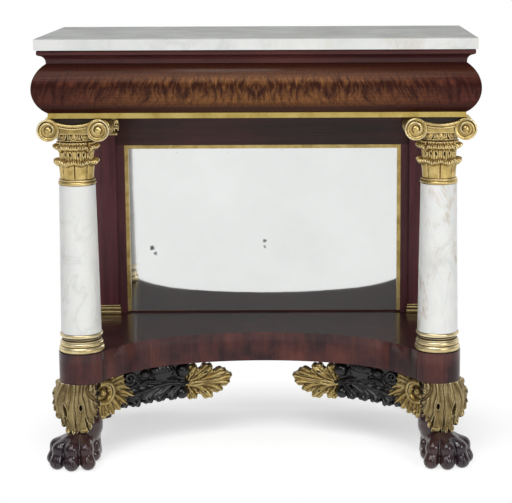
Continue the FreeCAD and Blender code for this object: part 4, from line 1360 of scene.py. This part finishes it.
# Round patch of floor, in scaled places, where the shadow shows
fade_shift, fade_scale = (0, -0.16, 0), (2.0, 3.1, 0)
floor_glow = 0.46
world_light = 0.55
sky_light = 0.25
front_room = 0.20
camera_place = (0.1200, -3.9100, 1.2390)
camera_turn = (-0.079, 9.774, -0.222)
camera_lens = 115.60
camera_shift = (-0.11, -0.075)


def background_rays(paint):
    """1 for rays that show the background as it is: from the camera, in gloss and through glass."""
    rays = [paint.node("LightPath", {}, f"Is {kind} Ray") for kind in ("Camera", "Glossy", "Transmission")]
    return functools.reduce(paint.most, rays)


def show(paint, output, plain, shown):
    """Lights the table with the plain surface and shows the other one behind it."""
    surface = paint.node("MixShader", {0: background_rays(paint), 1: plain, 2: shown})
    paint.put(paint.tree.nodes[output].inputs["Surface"], surface)


def link(name, data):
    held = bpy.data.objects.new(name, data)
    bpy.context.scene.collection.objects.link(held)
    return held


def make_floor():
    """White floor that shows the table's shadow near it and fades to plain white further out."""
    mesh = bpy.data.meshes.new("floor")
    corners = ((-1, -1), (1, -1), (1, 1), (-1, 1))
    mesh.from_pydata([(x * floor_half, y * floor_half, 0) for x, y in corners], [], [(0, 1, 2, 3)])
    paint = new_paint("white_floor")
    mesh.materials.append(paint.finish(Base_Color=floor_tone, Roughness=0.7, Specular_IOR_Level=0.1))
    plain = Level(paint, paint.shader.outputs[0])
    spot = paint.node("Mapping", {"Vector": paint.place(), "Location": fade_shift, "Scale": fade_scale})
    away = paint.node("VectorMath", {0: spot}, "Value", operation="LENGTH")
    far = paint.ramp(0.1 * away, (0.08, 0.0), (0.15, 1.0))
    glow = paint.node("Emission", {"Color": white, "Strength": floor_glow})
    near = paint.node("AddShader", {0: plain, 1: glow})
    bright = paint.node("Emission", {"Color": white, "Strength": 1.0})
    show(paint, "Material Output", plain, paint.node("MixShader", {0: far, 1: near, 2: bright}))
    link("floor", mesh)


def make_world():
    """White behind the table, a dimmer room in front of it and a soft sky that lights it."""
    world = bpy.data.worlds.new("studio")
    bpy.context.scene.world = world
    paint = Paint(world)
    _, towards, upward = paint.parts(paint.node("TexCoord", {}, "Generated"))
    backdrop = paint.ramp(0.5 * towards + 0.5, (0.55, front_room), (0.70, 1.0))
    strength = paint.most(paint.node("LightPath", {}, "Is Camera Ray"), backdrop)
    sky = paint.ramp(upward, (0.15, world_light), (0.75, sky_light))
    light = paint.node("Background", {"Color": (0.95, 0.97, 1.0, 1), "Strength": sky})
    show(paint, "World Output", light, paint.node("Background", {"Color": white, "Strength": strength}))


def make_lamp(name, place, aim, size, watts):
    lamp = bpy.data.lights.new(name, "AREA")
    lamp.shape = "RECTANGLE"
    lamp.size, lamp.size_y = size
    lamp.energy = watts
    turn = (Vector(aim) - Vector(place)).to_track_quat("-Z", "Y")
    link(name, lamp).matrix_world = Matrix.Translation(place) @ turn.to_matrix().to_4x4()


def make_camera():
    camera = bpy.data.cameras.new("camera")
    camera.lens = camera_lens
    camera.sensor_width = 36
    camera.shift_x, camera.shift_y = camera_shift
    yaw, pitch, roll = (math.radians(angle) for angle in camera_turn)
    held = link("camera", camera)
    held.matrix_world = (Matrix.Translation(camera_place) @ Matrix.Rotation(yaw, 4, "Z")
                         @ Matrix.Rotation(quarter_turn - pitch, 4, "X") @ Matrix.Rotation(roll, 4, "Z"))
    bpy.context.scene.camera = held


make_floor()
make_world()
make_lamp("key", (-0.8, -2.7, 3.7), (0, 0, 0.55), (3.4, 2.8), 97)
make_lamp("fill", (2.2, -2.9, 1.5), (0, 0, 0.5), (1.2, 1.6), 36)
make_lamp("overhead", (-0.2, -0.1, 3.4), (0, -0.1, 0.5), (2.4, 0.4), 28)
make_camera()
bpy.context.scene.view_settings.view_transform = "Standard"
